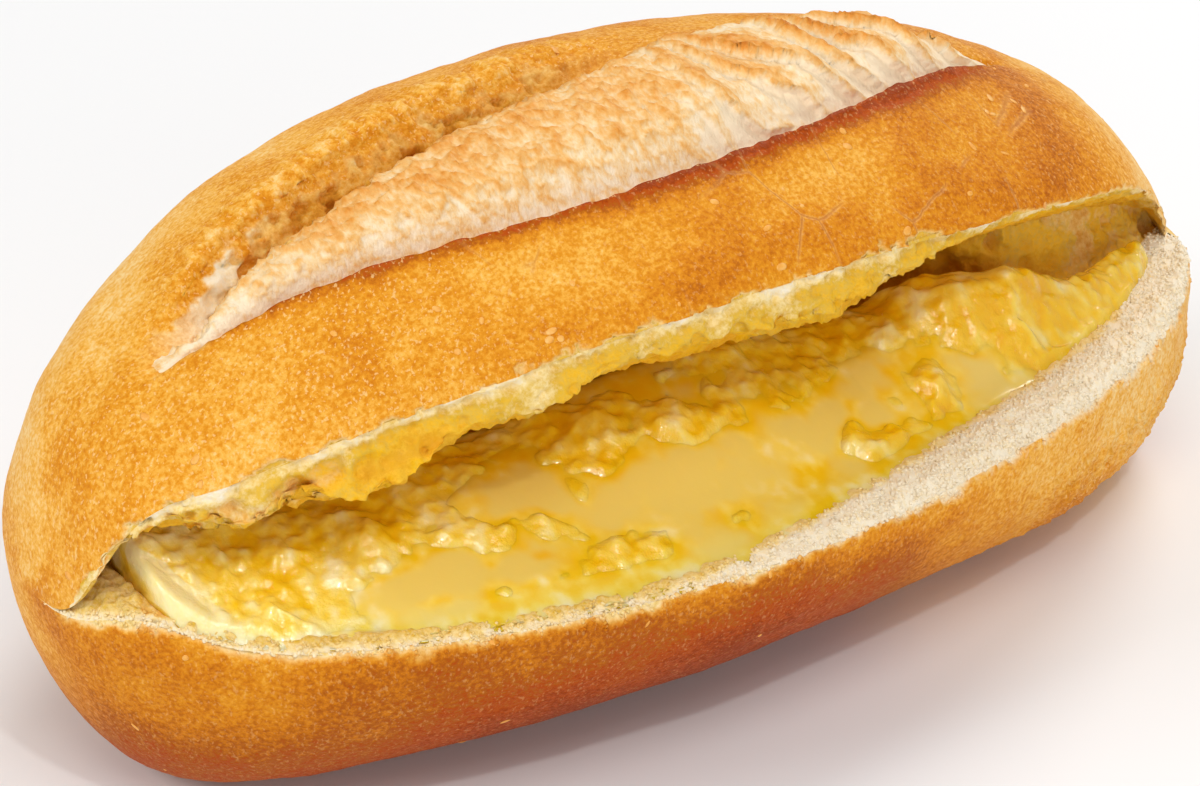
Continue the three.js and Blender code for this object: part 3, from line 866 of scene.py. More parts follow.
def loaf_soak_and_shade(at):
    under_lid = mix(zones(at, UNDER_LID_SOAK_AND_SHADE), mixed(at, RIGHT_WALL_SOAK), at["right_wall"])
    return np.clip(at["on_upper"] * under_lid + zones(at, SOAK), 0, WETTEST)


def loaf_marks(at):
    plain_front = zone(at, 1, "front", along=PLAIN_FRONT_ALONG)
    plain_base = zone(at, 1, "on_base", along=PLAIN_BASE_ALONG)
    on_crust = (1 - at["crumb"]) * (1 - at["bulge_bed"]) * smooth(at["height"], *BLISTERS_ABOVE)
    return {
        "crumb": at["crumb"],
        "toast": loaf_toast_and_shade(at),
        "soak": loaf_soak_and_shade(at),
        "crackle": zone(at, 1, "front", **CRACKLE),
        "fleck": 1 - FLECK_THINNING * np.maximum(plain_front, plain_base),
        "blister": zones(at, BLISTERS) * on_crust,
        "grain": zones(at, GRAINS),
    }


def loaf_relief(at):
    skin = mix(zones(at, SKIN_RELIEF), mixed(at, VALLEY_RELIEF), at["in_valley"])
    under_filling = zone(at, 1, "on_lower", **UNDER_FILLING)
    inside = mix(zones(at, MOUTH_RELIEF), mixed(at, UNDER_FILLING_RELIEF), under_filling)
    room = smooth(at["open_share"], *MOUTH_ROOM) * smooth(at["from_lip"], *MOUTH_RELIEF_START)
    relief = np.where(at["in_mouth"] > 0, inside * room, skin) + at["tear_relief"]
    return relief * (1 - np.abs(at["along"]) ** TIP_SHARPNESS) * smooth(at["height"], *FOOT_RELIEF_START)


def loaf_piece(material):
    u = stations(LOAF_STATIONS, TIP_CROWDING)[:, None]
    dome_angle = dome_angles(u)
    grid, upper_lip = loaf_sections(u, dome_angle)
    at = loaf_places(u, dome_angle, grid, upper_lip)
    grid = grid + grid_normals(grid) * loaf_relief(at)[..., None]
    grid[..., 2] = np.maximum(grid[..., 2], 0)
    return loft_object("loaf", grid, loaf_marks(at), material)


# The pale bulge where the score burst open

BULGE_STATIONS = 360
BULGE_LINES = 100
BULGE_ALONG = (-0.84, 0.67)
BULGE_ACROSS = (0.985, 0.02)
BULGE_TAPER = {"amount": 0.9, "start": 0.36, "end": 0.67}
BULGE_BACKING = 8
BULGE_DEPTH = 1.6
BULGE_SPAN = 24
BULGE_RIGHT = (-0.12, 0.2)
BULGE_CREST = {"height": 1, "at": 0.62, "spread": 0.3}
PALE_STRIP = {"raggedness": 0.06, "stops": (0.42, 0.14)}

# Where the bulge's skin dips into the loaf
BULGE_SINK = -0.7
BULGE_FRONT_EDGE = (0.0, 0.06)
BULGE_BACK_EDGE = {"raggedness": 0.012, "stops": (0.985, 0.945)}
BULGE_END_FADE = 0.06

# Sheets, fibres and flakes of pulled dough; a noise has its height, the size of its bumps and a seed
SHEET_PITCH = 5.2
SHEET_SLANT = 0.4
SHEET_WANDER = [(0.8, (9, 14, 1), 22), (0.2, 3, 27), (0.1, 0.9, 29)]
SHEET_EDGE = (0.92, 1.0)
SHEET_SAG = 1.4
SHEET_MIDDLE = 0.45
SHEET_LIFT = (0.35, 1)
FIBRES = {"size": (0.7, 5, 1), "seed": 20}
THREADS = {"size": (0.4, 2.5, 1), "seed": 21}
FLAKES = {"size": 2.4, "seed": 24, "thinness": 1, "sharpness": 4}
SMALL_FLAKES = {"size": 1.1, "seed": 28, "thinness": 1, "sharpness": 3}
FLAKE_MIDDLE = 0.4
FLAKE_THINNING = 0.6
BULGE_LACE = {"size": 0.7, "seed": 25}
BULGE_PATCHES = {"size": 6, "seed": 26}
BULGE_RELIEF = [
    term(0.1),
    term(1.6, "sheet_lift", "right"),
    term(0.1, "fibres"),
    term(0.08, "fibres", "right"),
    term(0.06, "threads"),
    term(0.6, "flakes", "flaky"),
    term(0.35, "small_flakes", "flaky"),
    term(0.16, "lace", "flaky"),
]
LEFT_BULGE_TOAST = {
    "even": 0.3, "crest": 0.2, "patches": 0.12, "lace": 0.12, "small_flakes": 0.3, "flakes": 0.2,
}
RIGHT_BULGE_TOAST = {"even": -0.16, "crest": 0.25, "sheets": 0.8, "patches": 0.15, "lace": 0.1}
BULGE_TOAST_AND_LIGHT = [
    term(0.14, "fibres"),
    term(0.1, "threads"),
    # Painted light, partly: the strip by the ear paler where it gets less light, besides its pale stretched
    # dough
    term(-0.14, "near_ear"),
    term(-0.26, "near_ear", "right"),
    term(0.2, across=(0.86, 0.98)),
    term(-0.3, along=(-0.52, -0.76)),
]


def pulled_sheets(places):
    """Overlapping sheets of pulled dough: height from 0 in front of a sheet's edge to 1 on it."""
    count = places[..., 0] / SHEET_PITCH + layered_noise(places, SHEET_WANDER)
    share = count - np.floor(count)
    rise = smooth(share, *SHEET_EDGE)
    return (1 - share) ** SHEET_SAG * (1 - rise) + rise


def bulge_places(u, across, top):
    """Named values for each point of the bulge."""
    width = BULGE_SPAN * across
    pulled = np.stack(np.broadcast_arrays(along(u) + SHEET_SLANT * width, width, 0.5), axis=-1)
    at = {"even": 1.0, "along": u, "across": across}
    at["fibres"] = noise_at(pulled, **FIBRES)
    at["threads"] = noise_at(pulled, **THREADS)
    at["sheets"] = pulled_sheets(pulled)
    at["flakes"] = laced(top, **FLAKES) - FLAKE_MIDDLE
    at["small_flakes"] = laced(top, **SMALL_FLAKES) - FLAKE_MIDDLE
    at["lace"] = noise_at(top, **BULGE_LACE)
    at["patches"] = noise_at(top, **BULGE_PATCHES)
    at["right"] = smooth(u, *BULGE_RIGHT)
    at["crest"] = bell(across, **BULGE_CREST)
    at["near_ear"] = smooth(across + PALE_STRIP["raggedness"] * at["patches"], *PALE_STRIP["stops"])
    at["flaky"] = (1 - FLAKE_THINNING * at["right"]) * (1 - at["near_ear"])
    at["sheet_lift"] = mix(*SHEET_LIFT, np.sin(math.pi * across)) * (at["sheets"] - SHEET_MIDDLE)
    return at


def bulge_piece(material):
    u = mix(*BULGE_ALONG, np.linspace(0, 1, BULGE_STATIONS))[:, None]
    share = np.linspace(*BULGE_ACROSS, BULGE_LINES)[None, :]
    across = share * (1 - ramp(u, **BULGE_TAPER))
    top = dome_points(u, mix(torn_ear_angle(u), torn_valley_angle(u), across))
    normals = grid_normals(top)
    normals[:, 0] = normals[:, 1]
    normals[:, -1] = normals[:, -2]

    at = bulge_places(u, across, top)
    left, right = BULGE_ALONG
    back_edge = share + BULGE_BACK_EDGE["raggedness"] * at["lace"]
    edge = smooth(share, *BULGE_FRONT_EDGE) * smooth(back_edge, *BULGE_BACK_EDGE["stops"])
    ends = within(u, left, left + BULGE_END_FADE, right - BULGE_END_FADE, right)
    surface = top + normals * mix(BULGE_SINK, zones(at, BULGE_RELIEF), edge * ends)[..., None]
    toast = mix(mixed(at, LEFT_BULGE_TOAST), mixed(at, RIGHT_BULGE_TOAST), at["right"])
    toast = toast + zones(at, BULGE_TOAST_AND_LIGHT)

    picks = np.round(np.linspace(1, 0, BULGE_BACKING) * (BULGE_LINES - 1)).astype(int)
    backing = (top - BULGE_DEPTH * normals)[:, picks]
    grid = capped(np.concatenate([surface, backing], axis=1))
    marks = {"toast": capped_mark(np.concatenate([toast, toast[:, picks]], axis=1))}
    return loft_object("stretched_bulge", grid, marks, material)


# The filling

FILLING_STATIONS = 560
BUTTER_LINES = 150
BUTTER_UNDER_LINES = 10
BUTTER_SINK = 0.6
BUTTER_SHORE_HEIGHT = -0.3
BUTTER_SHORE = {"raggedness": 0.02, "width": 0.1}
BUTTER_SHORE_SHIFT = {"amount": 0.07, "start": -56, "end": -50}
SHORE_WANDER = [(0.5, 4, 45), (0.4, 1.6, 46)]
MILK_LINES = 70
MILK_SINK = 0.3
MILK_FRONT_MARGIN = 0.4
MILK_BACK_MARGIN = 0.5
MILK_END_OUTLINE = {"power": 8, "root": 2}
MILK_EDGE_OUTLINE = {"power": 10, "root": 2}
LID_CLEARANCE = 0.3

# Levels of the filling, from the front shore to the bank at the back
FRONT_LEVEL = 0.32
BACK_LEVEL = 2.0
LEVEL_RISE = (0.0, 0.6)
BANK = {"amount": 4.86, "start": 0.12, "end": 0.95}
BANK_BACK = {"raggedness": 0.1, "stops": (0.66, 0.86)}
BANK_SHIFT = (0.93, 1.37)
BANK_ALONG = [
    (-0.9, 0.7), (-0.7, 0.8), (-0.54, 0.95), (-0.3, 1.0), (-0.12, 1.4), (0.06, 1.4), (0.15, 1.05),
    (0.24, 0.65), (0.33, 0.8), (0.43, 1.25), (0.56, 1.25), (0.66, 0.45), (0.76, 0.1), (0.9, 0.0),
]

# The cut corner of butter at the left
SLAB_LEFT = -0.912
SLAB_OUTLINE = {"power": 160, "root": 3}
SLAB_END = {"power": 220, "root": 2.5}
SLAB = {"height": 4.6, "x": -63.5, "y": -6, "fall_along": 0.21, "fall_forward": 0.28}
SLAB_CURDS = 0.12
SLAB_COLOUR = {"margin": 0.6, "stops": (0, 0.5), "x": (-50, -58), "cream": 0.9}

# Pools of milk and islands of butter
MILK_SPREAD = 2.4
POOL_FLOOR = {"depth": 0.35, "across": 0.2}
POOL_SHORE = (2.0, 0.6)
POOL_SHARE = 0.8
ISLAND_SHARE = 1.1
ISLAND_RAGGEDNESS = 0.5
POOLS = [
    {"x": -48.7, "y": -22.3, "radius": 4.5},
    {"x": -40.8, "y": -26.2, "radius": 4},
    {"x": -22.3, "y": -14, "radius": 4},
    {"x": -26.3, "y": -27, "radius": 4},
    {"x": 3.4, "y": -9, "radius": 3.5},
    {"x": 21.4, "y": -12, "radius": 4},
    {"x": 48.9, "y": -20.8, "radius": 4},
]
ISLANDS = [
    {"x": -39.9, "y": -14, "radius": 2.6, "height": 1.9},
    {"x": -30.9, "y": -19.8, "radius": 2.6, "height": 0.8},
    {"x": -24.4, "y": -20.7, "radius": 3.0, "height": 0.9},
    {"x": -19.8, "y": -27.9, "radius": 2.6, "height": 0.8},
    {"x": -9.5, "y": -9, "radius": 5, "height": 1.2},
    {"x": -1.5, "y": -13.7, "radius": 4, "height": 1.3},
    {"x": 11.9, "y": -24.7, "radius": 3.4, "height": 1.4},
    {"x": 24.2, "y": -19.6, "radius": 3.2, "height": 1.6},
    {"x": 5.2, "y": -32.1, "radius": 2.4, "height": 0.7},
    {"x": 37, "y": -17.5, "radius": 3.5, "height": 1.2},
    {"x": 36, "y": -8, "radius": 5, "height": 2.0},
    {"x": 20, "y": -6, "radius": 5, "height": 1.8},
]

# Noises over the filling, and what is mixed from them
FILLING_NOISES = {"broad": (6.5, 40), "medium": (2.8, 41), "film": ((10, 5, 1), 50), "dents": (4.2, 53)}
CURDS = [(0.45, 2.6, 44), (0.3, 1.3, 47), (0.12, 0.7, 48)]
CURD_RIDGES = {"size": 4.6, "seed": 43, "thinness": 1.6, "sharpness": 2}
CURD_BILLOWS = {"size": 1.9, "seed": 54, "steepness": 1.7}
CURD_MIX = {"curds": 1, "ridges": 0.25, "billows": 0.2, "even": -0.1925}
STREAKS = [(0.4, 3.4, 55), (0.3, 1.2, 56)]
POOL_MIX = {"pool": 1, "even": -0.4, "broad": 0.65, "medium": 0.5}
POOL_BED = {"even": 0.6, "dents": -0.75, "medium": -0.35}
FILM = (0.0, 0.35)
FILM_MILKINESS = 0.7
WET = (-0.45, 0.45)
WET_ALONG = (-56, -45, 38, 50)
MILKY = (-0.5, 1.0)
BARE = (-0.9, 0.45)
WET_SETTLING = 0.35
BUTTER_SURFACE = [
    term(0.2),
    term(1, "level"),
    term(1, "on_bank", "broad"),
    term(0.6, "lumps"),
    term(1, "curds"),
    term(-0.55, "curds", "wet"),
    term(-1, "pool_bed", "wet_pool"),
]
MILK_SURFACE = [
    term(-0.5),
    term(1, "level"),
    term(0.35, across=(0.0, 0.16)),
    term(0.3, across=(0.05, 0.3)),
    term(0.14, "broad"),
    term(0.06, "medium"),
    term(-2.2, x=(34, 48)),
    term(-1.6, x=(-42, -54)),
]
# How creamy the butter is; the curds term also paints light on the curd crests and shade in the creases
# between them
CREAM_AND_SHADE = [
    term(0.42),
    term(0.22, along=(-0.3, -0.7)),
    term(0.5, "curds"),
    term(1, "streaks"),
    term(0.3, across=(0.15, 0.0)),
]


def butter_front(u):
    return -half_width(u) + BUTTER_MARGIN + ramp(u, **BUTTER_MARGIN_GROWTH)


def butter_back(u):
    return hinge_y(u) - (wedge_reach(u) + BUTTER_BACK_MARGIN) * (hinge_y(u) + half_width(u))


def shore_wander(u):
    return line_noise(u, SHORE_WANDER)


def reach_at(u, y):
    return (hinge_y(u) - y) / np.maximum(hinge_y(u) + half_width(u), 1e-6)


def milk_middle(x):
    return butter_front(x / along(1)) + MILK_MARGIN + sum(bell(x, **bend) for bend in MILK_BENDS)


def milk_half_width(x):
    half = MILK_HALF_WIDTH + sum(bell(x, **swell) for swell in MILK_SWELLS)
    from_middle = (2 * x - MILK_LEFT - MILK_RIGHT) / (MILK_RIGHT - MILK_LEFT)
    return half * profile(from_middle, **MILK_OUTLINE)


def slab_height(x, y):
    """The cut corner of butter at the left, a plane that falls to the right and to the front."""
    fall = SLAB["fall_along"] * (x - SLAB["x"]) + SLAB["fall_forward"] * np.maximum(SLAB["y"] - y, 0)
    return SLAB["height"] - fall


def billowed(points, size, seed, steepness):
    """Rounded bumps from 0 to 1 with sharp creases between them."""
    return np.clip(steepness * np.abs(noise_at(points, size, seed)), 0, 1)


def pools_and_lumps(x, y, raggedness):
    """How far each place lies in a pool of milk, and how high its islands of butter stand."""
    half = milk_half_width(x)
    from_middle = np.abs(y - milk_middle(x)) / np.maximum(half, 1e-6)
    pool = np.where(half > 0, smooth(from_middle, *POOL_SHORE), 0)
    lumps = 0.0
    for lake in POOLS:
        pool = pool + bell(np.hypot(x - lake["x"], y - lake["y"]), POOL_SHARE, 0, lake["radius"])
    for island in ISLANDS:
        distance = np.hypot(x - island["x"], y - island["y"]) * (1 + raggedness)
        mound = bell(distance, 1, 0, island["radius"])
        pool = pool - ISLAND_SHARE * mound
        lumps = lumps + island["height"] * mound
    return pool, lumps


def filling_places(u, x, y):
    """Named values for each point of the filling, seen from above."""
    flat = np.stack(np.broadcast_arrays(x, y, 0.0), axis=-1)
    at = {"even": 1.0, "along": u, "x": x}
    for name, (size, seed) in FILLING_NOISES.items():
        at[name] = noise_at(flat, size, seed)
    at["across"] = (y - butter_front(u)) / np.maximum(butter_back(u) - butter_front(u), 1e-6)
    at["on_bank"] = smooth(at["across"] + BANK_BACK["raggedness"] * at["broad"], *BANK_BACK["stops"])
    off_bank = 1 - at["on_bank"]
    bank = ramp(at["across"], **BANK) * along_list(u, BANK_ALONG)
    at["level"] = mix(FRONT_LEVEL, BACK_LEVEL, smooth(at["across"], *LEVEL_RISE)) + bank
    at["curds"] = layered_noise(flat, CURDS)
    at["ridges"] = laced(flat, **CURD_RIDGES)
    at["billows"] = billowed(flat, **CURD_BILLOWS)
    at["curds"] = mixed(at, CURD_MIX)
    at["streaks"] = layered_noise(flat, STREAKS)
    shifted_x = x + BANK_SHIFT[0] * bank
    shifted_y = y + BANK_SHIFT[1] * bank
    at["pool"], at["lumps"] = pools_and_lumps(shifted_x, shifted_y, ISLAND_RAGGEDNESS * at["medium"])
    pool = mixed(at, POOL_MIX)
    film = smooth(at["film"], *FILM) * at["on_bank"]
    at["wet"] = np.maximum(smooth(pool, *WET) * off_bank * within(shifted_x, *WET_ALONG), film)
    at["milky"] = np.maximum(smooth(pool, *MILKY) * off_bank, FILM_MILKINESS * film)
    at["wet_pool"] = at["wet"] * off_bank
    at["pool_bed"] = mixed(at, POOL_BED)
    return at


def filling_heights(u, x, y):
    """Heights over the cut face of the butter and of the milk, how milky the mix is, and how creamy, with
    painted light and shade on the curds.
    """
    at = filling_places(u, x, y)
    butter = np.maximum(zones(at, BUTTER_SURFACE), slab_height(x, y) + SLAB_CURDS * at["curds"])
    shore = ramp(x, **BUTTER_SHORE_SHIFT)
    ashore = at["across"] + BUTTER_SHORE["raggedness"] * at["broad"]
    butter = mix(BUTTER_SHORE_HEIGHT, butter, smooth(ashore, shore, shore + BUTTER_SHORE["width"]))
    milk = zones(at, MILK_SURFACE)
    above = butter - milk
    butter = butter - WET_SETTLING * np.maximum(above, 0) * at["wet_pool"]
    milky = at["milky"] * (1 - (1 - at["on_bank"]) * smooth(above, *BARE))
    ceiling = reach_at(u, y) * (hinge_y(u) + half_width(u)) * np.sin(opening(u)) - LID_CLEARANCE
    floor = np.where(at["across"] > POOL_FLOOR["across"], POOL_FLOOR["depth"], -1)
    butter = np.minimum(np.maximum(butter, floor), ceiling)
    return butter, np.minimum(milk, ceiling), milky, zones(at, CREAM_AND_SHADE)


def spread_points(x, y, height):
    return np.stack(np.broadcast_arrays(x, y, height), axis=-1)


def butter_piece(material):
    share = stations(FILLING_STATIONS, TIP_CROWDING)[:, None]
    u = mix(SLAB_LEFT, BUTTER_RIGHT, (share + 1) / 2)
    x = along(u)
    front = butter_front(u) + shore_wander(u)
    middle = (front + butter_back(u)) / 2
    half = (butter_back(u) - front) / 2 * profile(share, **SLAB_OUTLINE)
    side = np.linspace(-1, 1, BUTTER_LINES)[None, :]
    y = middle + half * side
    butter, _, milky, cream = filling_heights(u, x, y)
    edge = profile(side, **BUTTER_EDGE_OUTLINE) * profile(share, **SLAB_END)
    bottom = lower_face_height(u, reach_at(u, y)) - BUTTER_SINK
    slab = smooth(slab_height(x, y) + SLAB_COLOUR["margin"] - butter, *SLAB_COLOUR["stops"])
    slab = slab * smooth(x, *SLAB_COLOUR["x"])
    marks = {"cream": np.clip(cream + SLAB_COLOUR["cream"] * slab, 0, 1), "milky": milky * (1 - slab)}
    under_y = middle + half * np.linspace(-1, 1, BUTTER_UNDER_LINES)[None, :]
    under = spread_points(x, under_y, lower_face_height(u, reach_at(u, under_y)) - BUTTER_SINK)
    top = spread_points(x, y, bottom + (butter + BUTTER_SINK) * edge)
    grid = np.concatenate([under, top[:, ::-1]], axis=1)
    plain = np.zeros((FILLING_STATIONS, BUTTER_UNDER_LINES))
    marks = {mark: np.concatenate([plain, values[:, ::-1]], axis=1) for mark, values in marks.items()}
    return loft_object("spread_butter", grid, marks, material)


def milk_piece(material):
    share = stations(FILLING_STATIONS, TIP_CROWDING)[:, None]
    x = mix(MILK_LEFT, MILK_RIGHT, (share + 1) / 2)
    u = x / along(1)
    side = np.linspace(-1, 1, MILK_LINES)[None, :]
    shore = butter_front(u) + MILK_FRONT_MARGIN + shore_wander(u)
    front = mix(milk_middle(x), shore, profile(share, **MILK_END_OUTLINE))
    back = np.minimum(milk_middle(x) + MILK_SPREAD * milk_half_width(x), butter_back(u) - MILK_BACK_MARGIN)
    y = mix(np.minimum(front, back), back, (side + 1) / 2)
    _, milk, milky, cream = filling_heights(u, x, y)
    bottom = lower_face_height(u, reach_at(u, y)) - MILK_SINK
    top = bottom + (milk + MILK_SINK) * profile(side, **MILK_EDGE_OUTLINE)
    grid = np.concatenate([spread_points(x, y, bottom), spread_points(x, y, top)[:, ::-1]], axis=1)
    marks = {"cream": np.clip(cream, 0, 1), "milky": milky}
    marks = {mark: np.concatenate([values, values[:, ::-1]], axis=1) for mark, values in marks.items()}
    return loft_object("condensed_milk_pool", grid, marks, material)


# Nodes, in materials and in Geometry Nodes

def link_nodes(tree, kind, inputs=None, **settings):
    """A node with its settings and inputs: an input is a value, or a socket to link from."""
    made = tree.nodes.new(kind)
    for name, value in settings.items():
        setattr(made, name, value)
    for key, value in (inputs or {}).items():
        if isinstance(value, bpy.types.NodeSocket):
            tree.links.new(value, made.inputs[key])
        else:
            made.inputs[key].default_value = value
    return made


def calculate(tree, operation, first, second=0.0, clamped=False):
    inputs = {0: first, 1: second}
    return link_nodes(tree, "ShaderNodeMath", inputs, operation=operation, use_clamp=clamped).outputs[0]


def product(tree, first, second):
    return calculate(tree, "MULTIPLY", first, second)


def total(tree, first, second, clamped=False):
    return calculate(tree, "ADD", first, second, clamped)


def vector_math(tree, operation, inputs):
    return link_nodes(tree, "ShaderNodeVectorMath", inputs, operation=operation).outputs[0]


# Small things scattered over a surface by Geometry Nodes

LUMP_BUMPS = {"Scale": 1.3, "Detail": 1.0}
SCATTER_INPUTS = {
    "Surface": "NodeSocketGeometry",
    "Mark": "NodeSocketString",
    "Per square metre": "NodeSocketFloat",
    "Smallest": "NodeSocketVector",
    "Largest": "NodeSocketVector",
    "Unevenness": "NodeSocketFloat",
    "Tilt": "NodeSocketFloat",
    "Seed": "NodeSocketInt",
    "Finish": "NodeSocketMaterial",
}


def random_vector(tree, low, high, seed):
    inputs = {"Min": low, "Max": high, "Seed": seed}
    return link_nodes(tree, "FunctionNodeRandomValue", inputs, data_type="FLOAT_VECTOR").outputs["Value"]


def lump_mesh(tree, segments, rings, unevenness):
    """A ball of radius 1 that noise has pushed out of round."""
    ball = link_nodes(tree, "GeometryNodeMeshUVSphere", {"Segments": segments, "Rings": rings, "Radius": 1.0})
    bumps = link_nodes(tree, "ShaderNodeTexNoise", LUMP_BUMPS)
    centred = vector_math(tree, "SUBTRACT", {0: bumps.outputs["Color"], 1: (0.5, 0.5, 0.5)})
    pushed = vector_math(tree, "SCALE", {0: centred, "Scale": unevenness})
    lump = link_nodes(tree, "GeometryNodeSetPosition", {"Geometry": ball.outputs["Mesh"], "Offset": pushed})
    soft = link_nodes(tree, "GeometryNodeSetShadeSmooth", {"Geometry": lump.outputs["Geometry"]})
    return soft.outputs["Geometry"]


def scatter_tree(name, segments, rings):
    """A tree that strews small lumps over a mesh, as thick as one of its marks says."""
    tree = bpy.data.node_groups.new(name, "GeometryNodeTree")
    for socket, kind in SCATTER_INPUTS.items():
        tree.interface.new_socket(socket, in_out="INPUT", socket_type=kind)
    tree.interface.new_socket("Lumps", in_out="OUTPUT", socket_type="NodeSocketGeometry")
    given = tree.nodes.new("NodeGroupInput").outputs
    mark = link_nodes(tree, "GeometryNodeInputNamedAttribute", {"Name": given["Mark"]}, data_type="FLOAT")
    density = product(tree, mark.outputs["Attribute"], given["Per square metre"])
    strewing = {"Mesh": given["Surface"], "Density": density, "Seed": given["Seed"]}
    strewn = link_nodes(tree, "GeometryNodeDistributePointsOnFaces", strewing).outputs
    back = product(tree, given["Tilt"], -1.0)
    low = link_nodes(tree, "ShaderNodeCombineXYZ", {"X": back, "Y": back, "Z": -math.pi})
    high = link_nodes(tree, "ShaderNodeCombineXYZ", {"X": given["Tilt"], "Y": given["Tilt"], "Z": math.pi})
    turn = random_vector(tree, low.outputs[0], high.outputs[0], given["Seed"])
    twist = link_nodes(tree, "FunctionNodeEulerToRotation", {"Euler": turn}).outputs["Rotation"]
    turning = {"Rotation": strewn["Rotation"], "Rotate By": twist}
    turned = link_nodes(tree, "FunctionNodeRotateRotation", turning, rotation_space="LOCAL")
    placing = {
        "Points": strewn["Points"],
        "Instance": lump_mesh(tree, segments, rings, given["Unevenness"]),
        "Rotation": turned.outputs["Rotation"],
        "Scale": random_vector(tree, given["Smallest"], given["Largest"], given["Seed"]),
    }
    placed = link_nodes(tree, "GeometryNodeInstanceOnPoints", placing)
    real = link_nodes(tree, "GeometryNodeRealizeInstances", {"Geometry": placed.outputs["Instances"]})
    finishing = {"Geometry": real.outputs["Geometry"], "Material": given["Finish"]}
    finished = link_nodes(tree, "GeometryNodeSetMaterial", finishing)
    result = tree.nodes.new("NodeGroupOutput")
    tree.links.new(finished.outputs["Geometry"], result.inputs["Lumps"])
    return tree


def scattered(name, tree, source, values):
    """The lumps that a scatter tree strews over another piece, as one plain mesh."""
    piece = bpy.data.objects.new(name, source.data.copy())
    bpy.context.scene.collection.objects.link(piece)
    modifier = piece.modifiers.new("scatter", "NODES")
    modifier.node_group = tree
    for socket in tree.interface.items_tree:
        if socket.in_out == "INPUT" and socket.name in values:
            modifier[socket.identifier] = values[socket.name]
    graph = bpy.context.evaluated_depsgraph_get()
    shown = piece.evaluated_get(graph)
    mesh = bpy.data.meshes.new_from_object(shown, preserve_all_data_layers=True, depsgraph=graph)
    piece.modifiers.remove(modifier)
    piece.data = mesh
    mesh.name = name
    return piece


# Parts of materials

FLECK_STRETCH = (1.0, 1.0, 0.6)
FLECK_DETAIL = 2
FLECK_EDGE = 0.1
CRACK_WANDER = {"Scale": 260.0, "Detail": 3.0}
CRACK_WANDER_REACH = 0.0008
CRACK_LINE = (0.2, 1.0)
CRACK_BREAKS = {"scale": 95, "detail": 2}
CRACK_BREAK_STOPS = (0.44, 0.56)
MOTTLING_NOISE = {"detail": 4, "roughness": 0.6}
MOTTLING_SPAN = (0.25, 0.75)
GRAIN_NOISE = {"detail": 4, "roughness": 0.62}
GRAIN_SPAN = (0.28, 0.72)


def colour(code):
    """Linear colour of a screen colour such as e59c32."""
    channels = [int(code[k:k + 2], 16) / 255 for k in (0, 2, 4)]
    linear = [c / 12.92 if c <= 0.04045 else ((c + 0.055) / 1.055) ** 2.4 for c in channels]
    return (*linear, 1)


def mark_of(tree, name):
    return link_nodes(tree, "ShaderNodeAttribute", attribute_name=name).outputs["Fac"]


def blend(tree, share, first, second):
    """A colour between two; the mix node's colours are its inputs 6 and 7 and its output 2."""
    return link_nodes(tree, "ShaderNodeMix", {0: share, 6: first, 7: second}, data_type="RGBA").outputs[2]


def range_of(tree, value, start, end, low=0.0, high=1.0):
    inputs = {"Value": value, "From Min": start, "From Max": end, "To Min": low, "To Max": high}
    return link_nodes(tree, "ShaderNodeMapRange", inputs, interpolation_type="SMOOTHSTEP").outputs["Result"]


def colours_along(tree, value, stops):
    made = link_nodes(tree, "ShaderNodeValToRGB", {"Fac": value})
    elements = made.color_ramp.elements
    while len(elements) < len(stops):
        elements.new(0.5)
    for element, (place, code) in zip(elements, stops):
        element.position = place
        element.color = colour(code)
    return made.outputs["Color"]


def texture_noise(tree, place, scale, detail, roughness=0.5):
    inputs = {"Vector": place, "Scale": scale, "Detail": detail, "Roughness": roughness}
    return link_nodes(tree, "ShaderNodeTexNoise", inputs).outputs["Fac"]


def stretched(tree, place, scale):
    return link_nodes(tree, "ShaderNodeMapping", {"Vector": place, "Scale": scale}).outputs["Vector"]


def new_group(name, inputs, outputs):
    """An empty shader group with float inputs and outputs besides its Place, and its two ends."""
    tree = bpy.data.node_groups.new(name, "ShaderNodeTree")
    tree.interface.new_socket("Place", in_out="INPUT", socket_type="NodeSocketVector")
    for socket in inputs:
        tree.interface.new_socket(socket, in_out="INPUT", socket_type="NodeSocketFloat")
    for socket in outputs:
        tree.interface.new_socket(socket, in_out="OUTPUT", socket_type="NodeSocketFloat")
    return tree, tree.nodes.new("NodeGroupInput").outputs, tree.nodes.new("NodeGroupOutput").inputs


def use_group(tree, group, place, settings):
    return link_nodes(tree, "ShaderNodeGroup", {"Place": place, **settings}, node_tree=group).outputs


def pale_flecks_group():
    """Small pale flecks strewn over a surface."""
    tree, given, result = new_group("pale_flecks", ["Scale", "Share"], ["Mask"])
    place = stretched(tree, given["Place"], FLECK_STRETCH)
    specks = texture_noise(tree, place, given["Scale"], FLECK_DETAIL)
    start = calculate(tree, "SUBTRACT", 1.0, given["Share"])
    mask = range_of(tree, calculate(tree, "SUBTRACT", specks, start), 0.0, FLECK_EDGE)
    tree.links.new(mask, result["Mask"])
    return tree


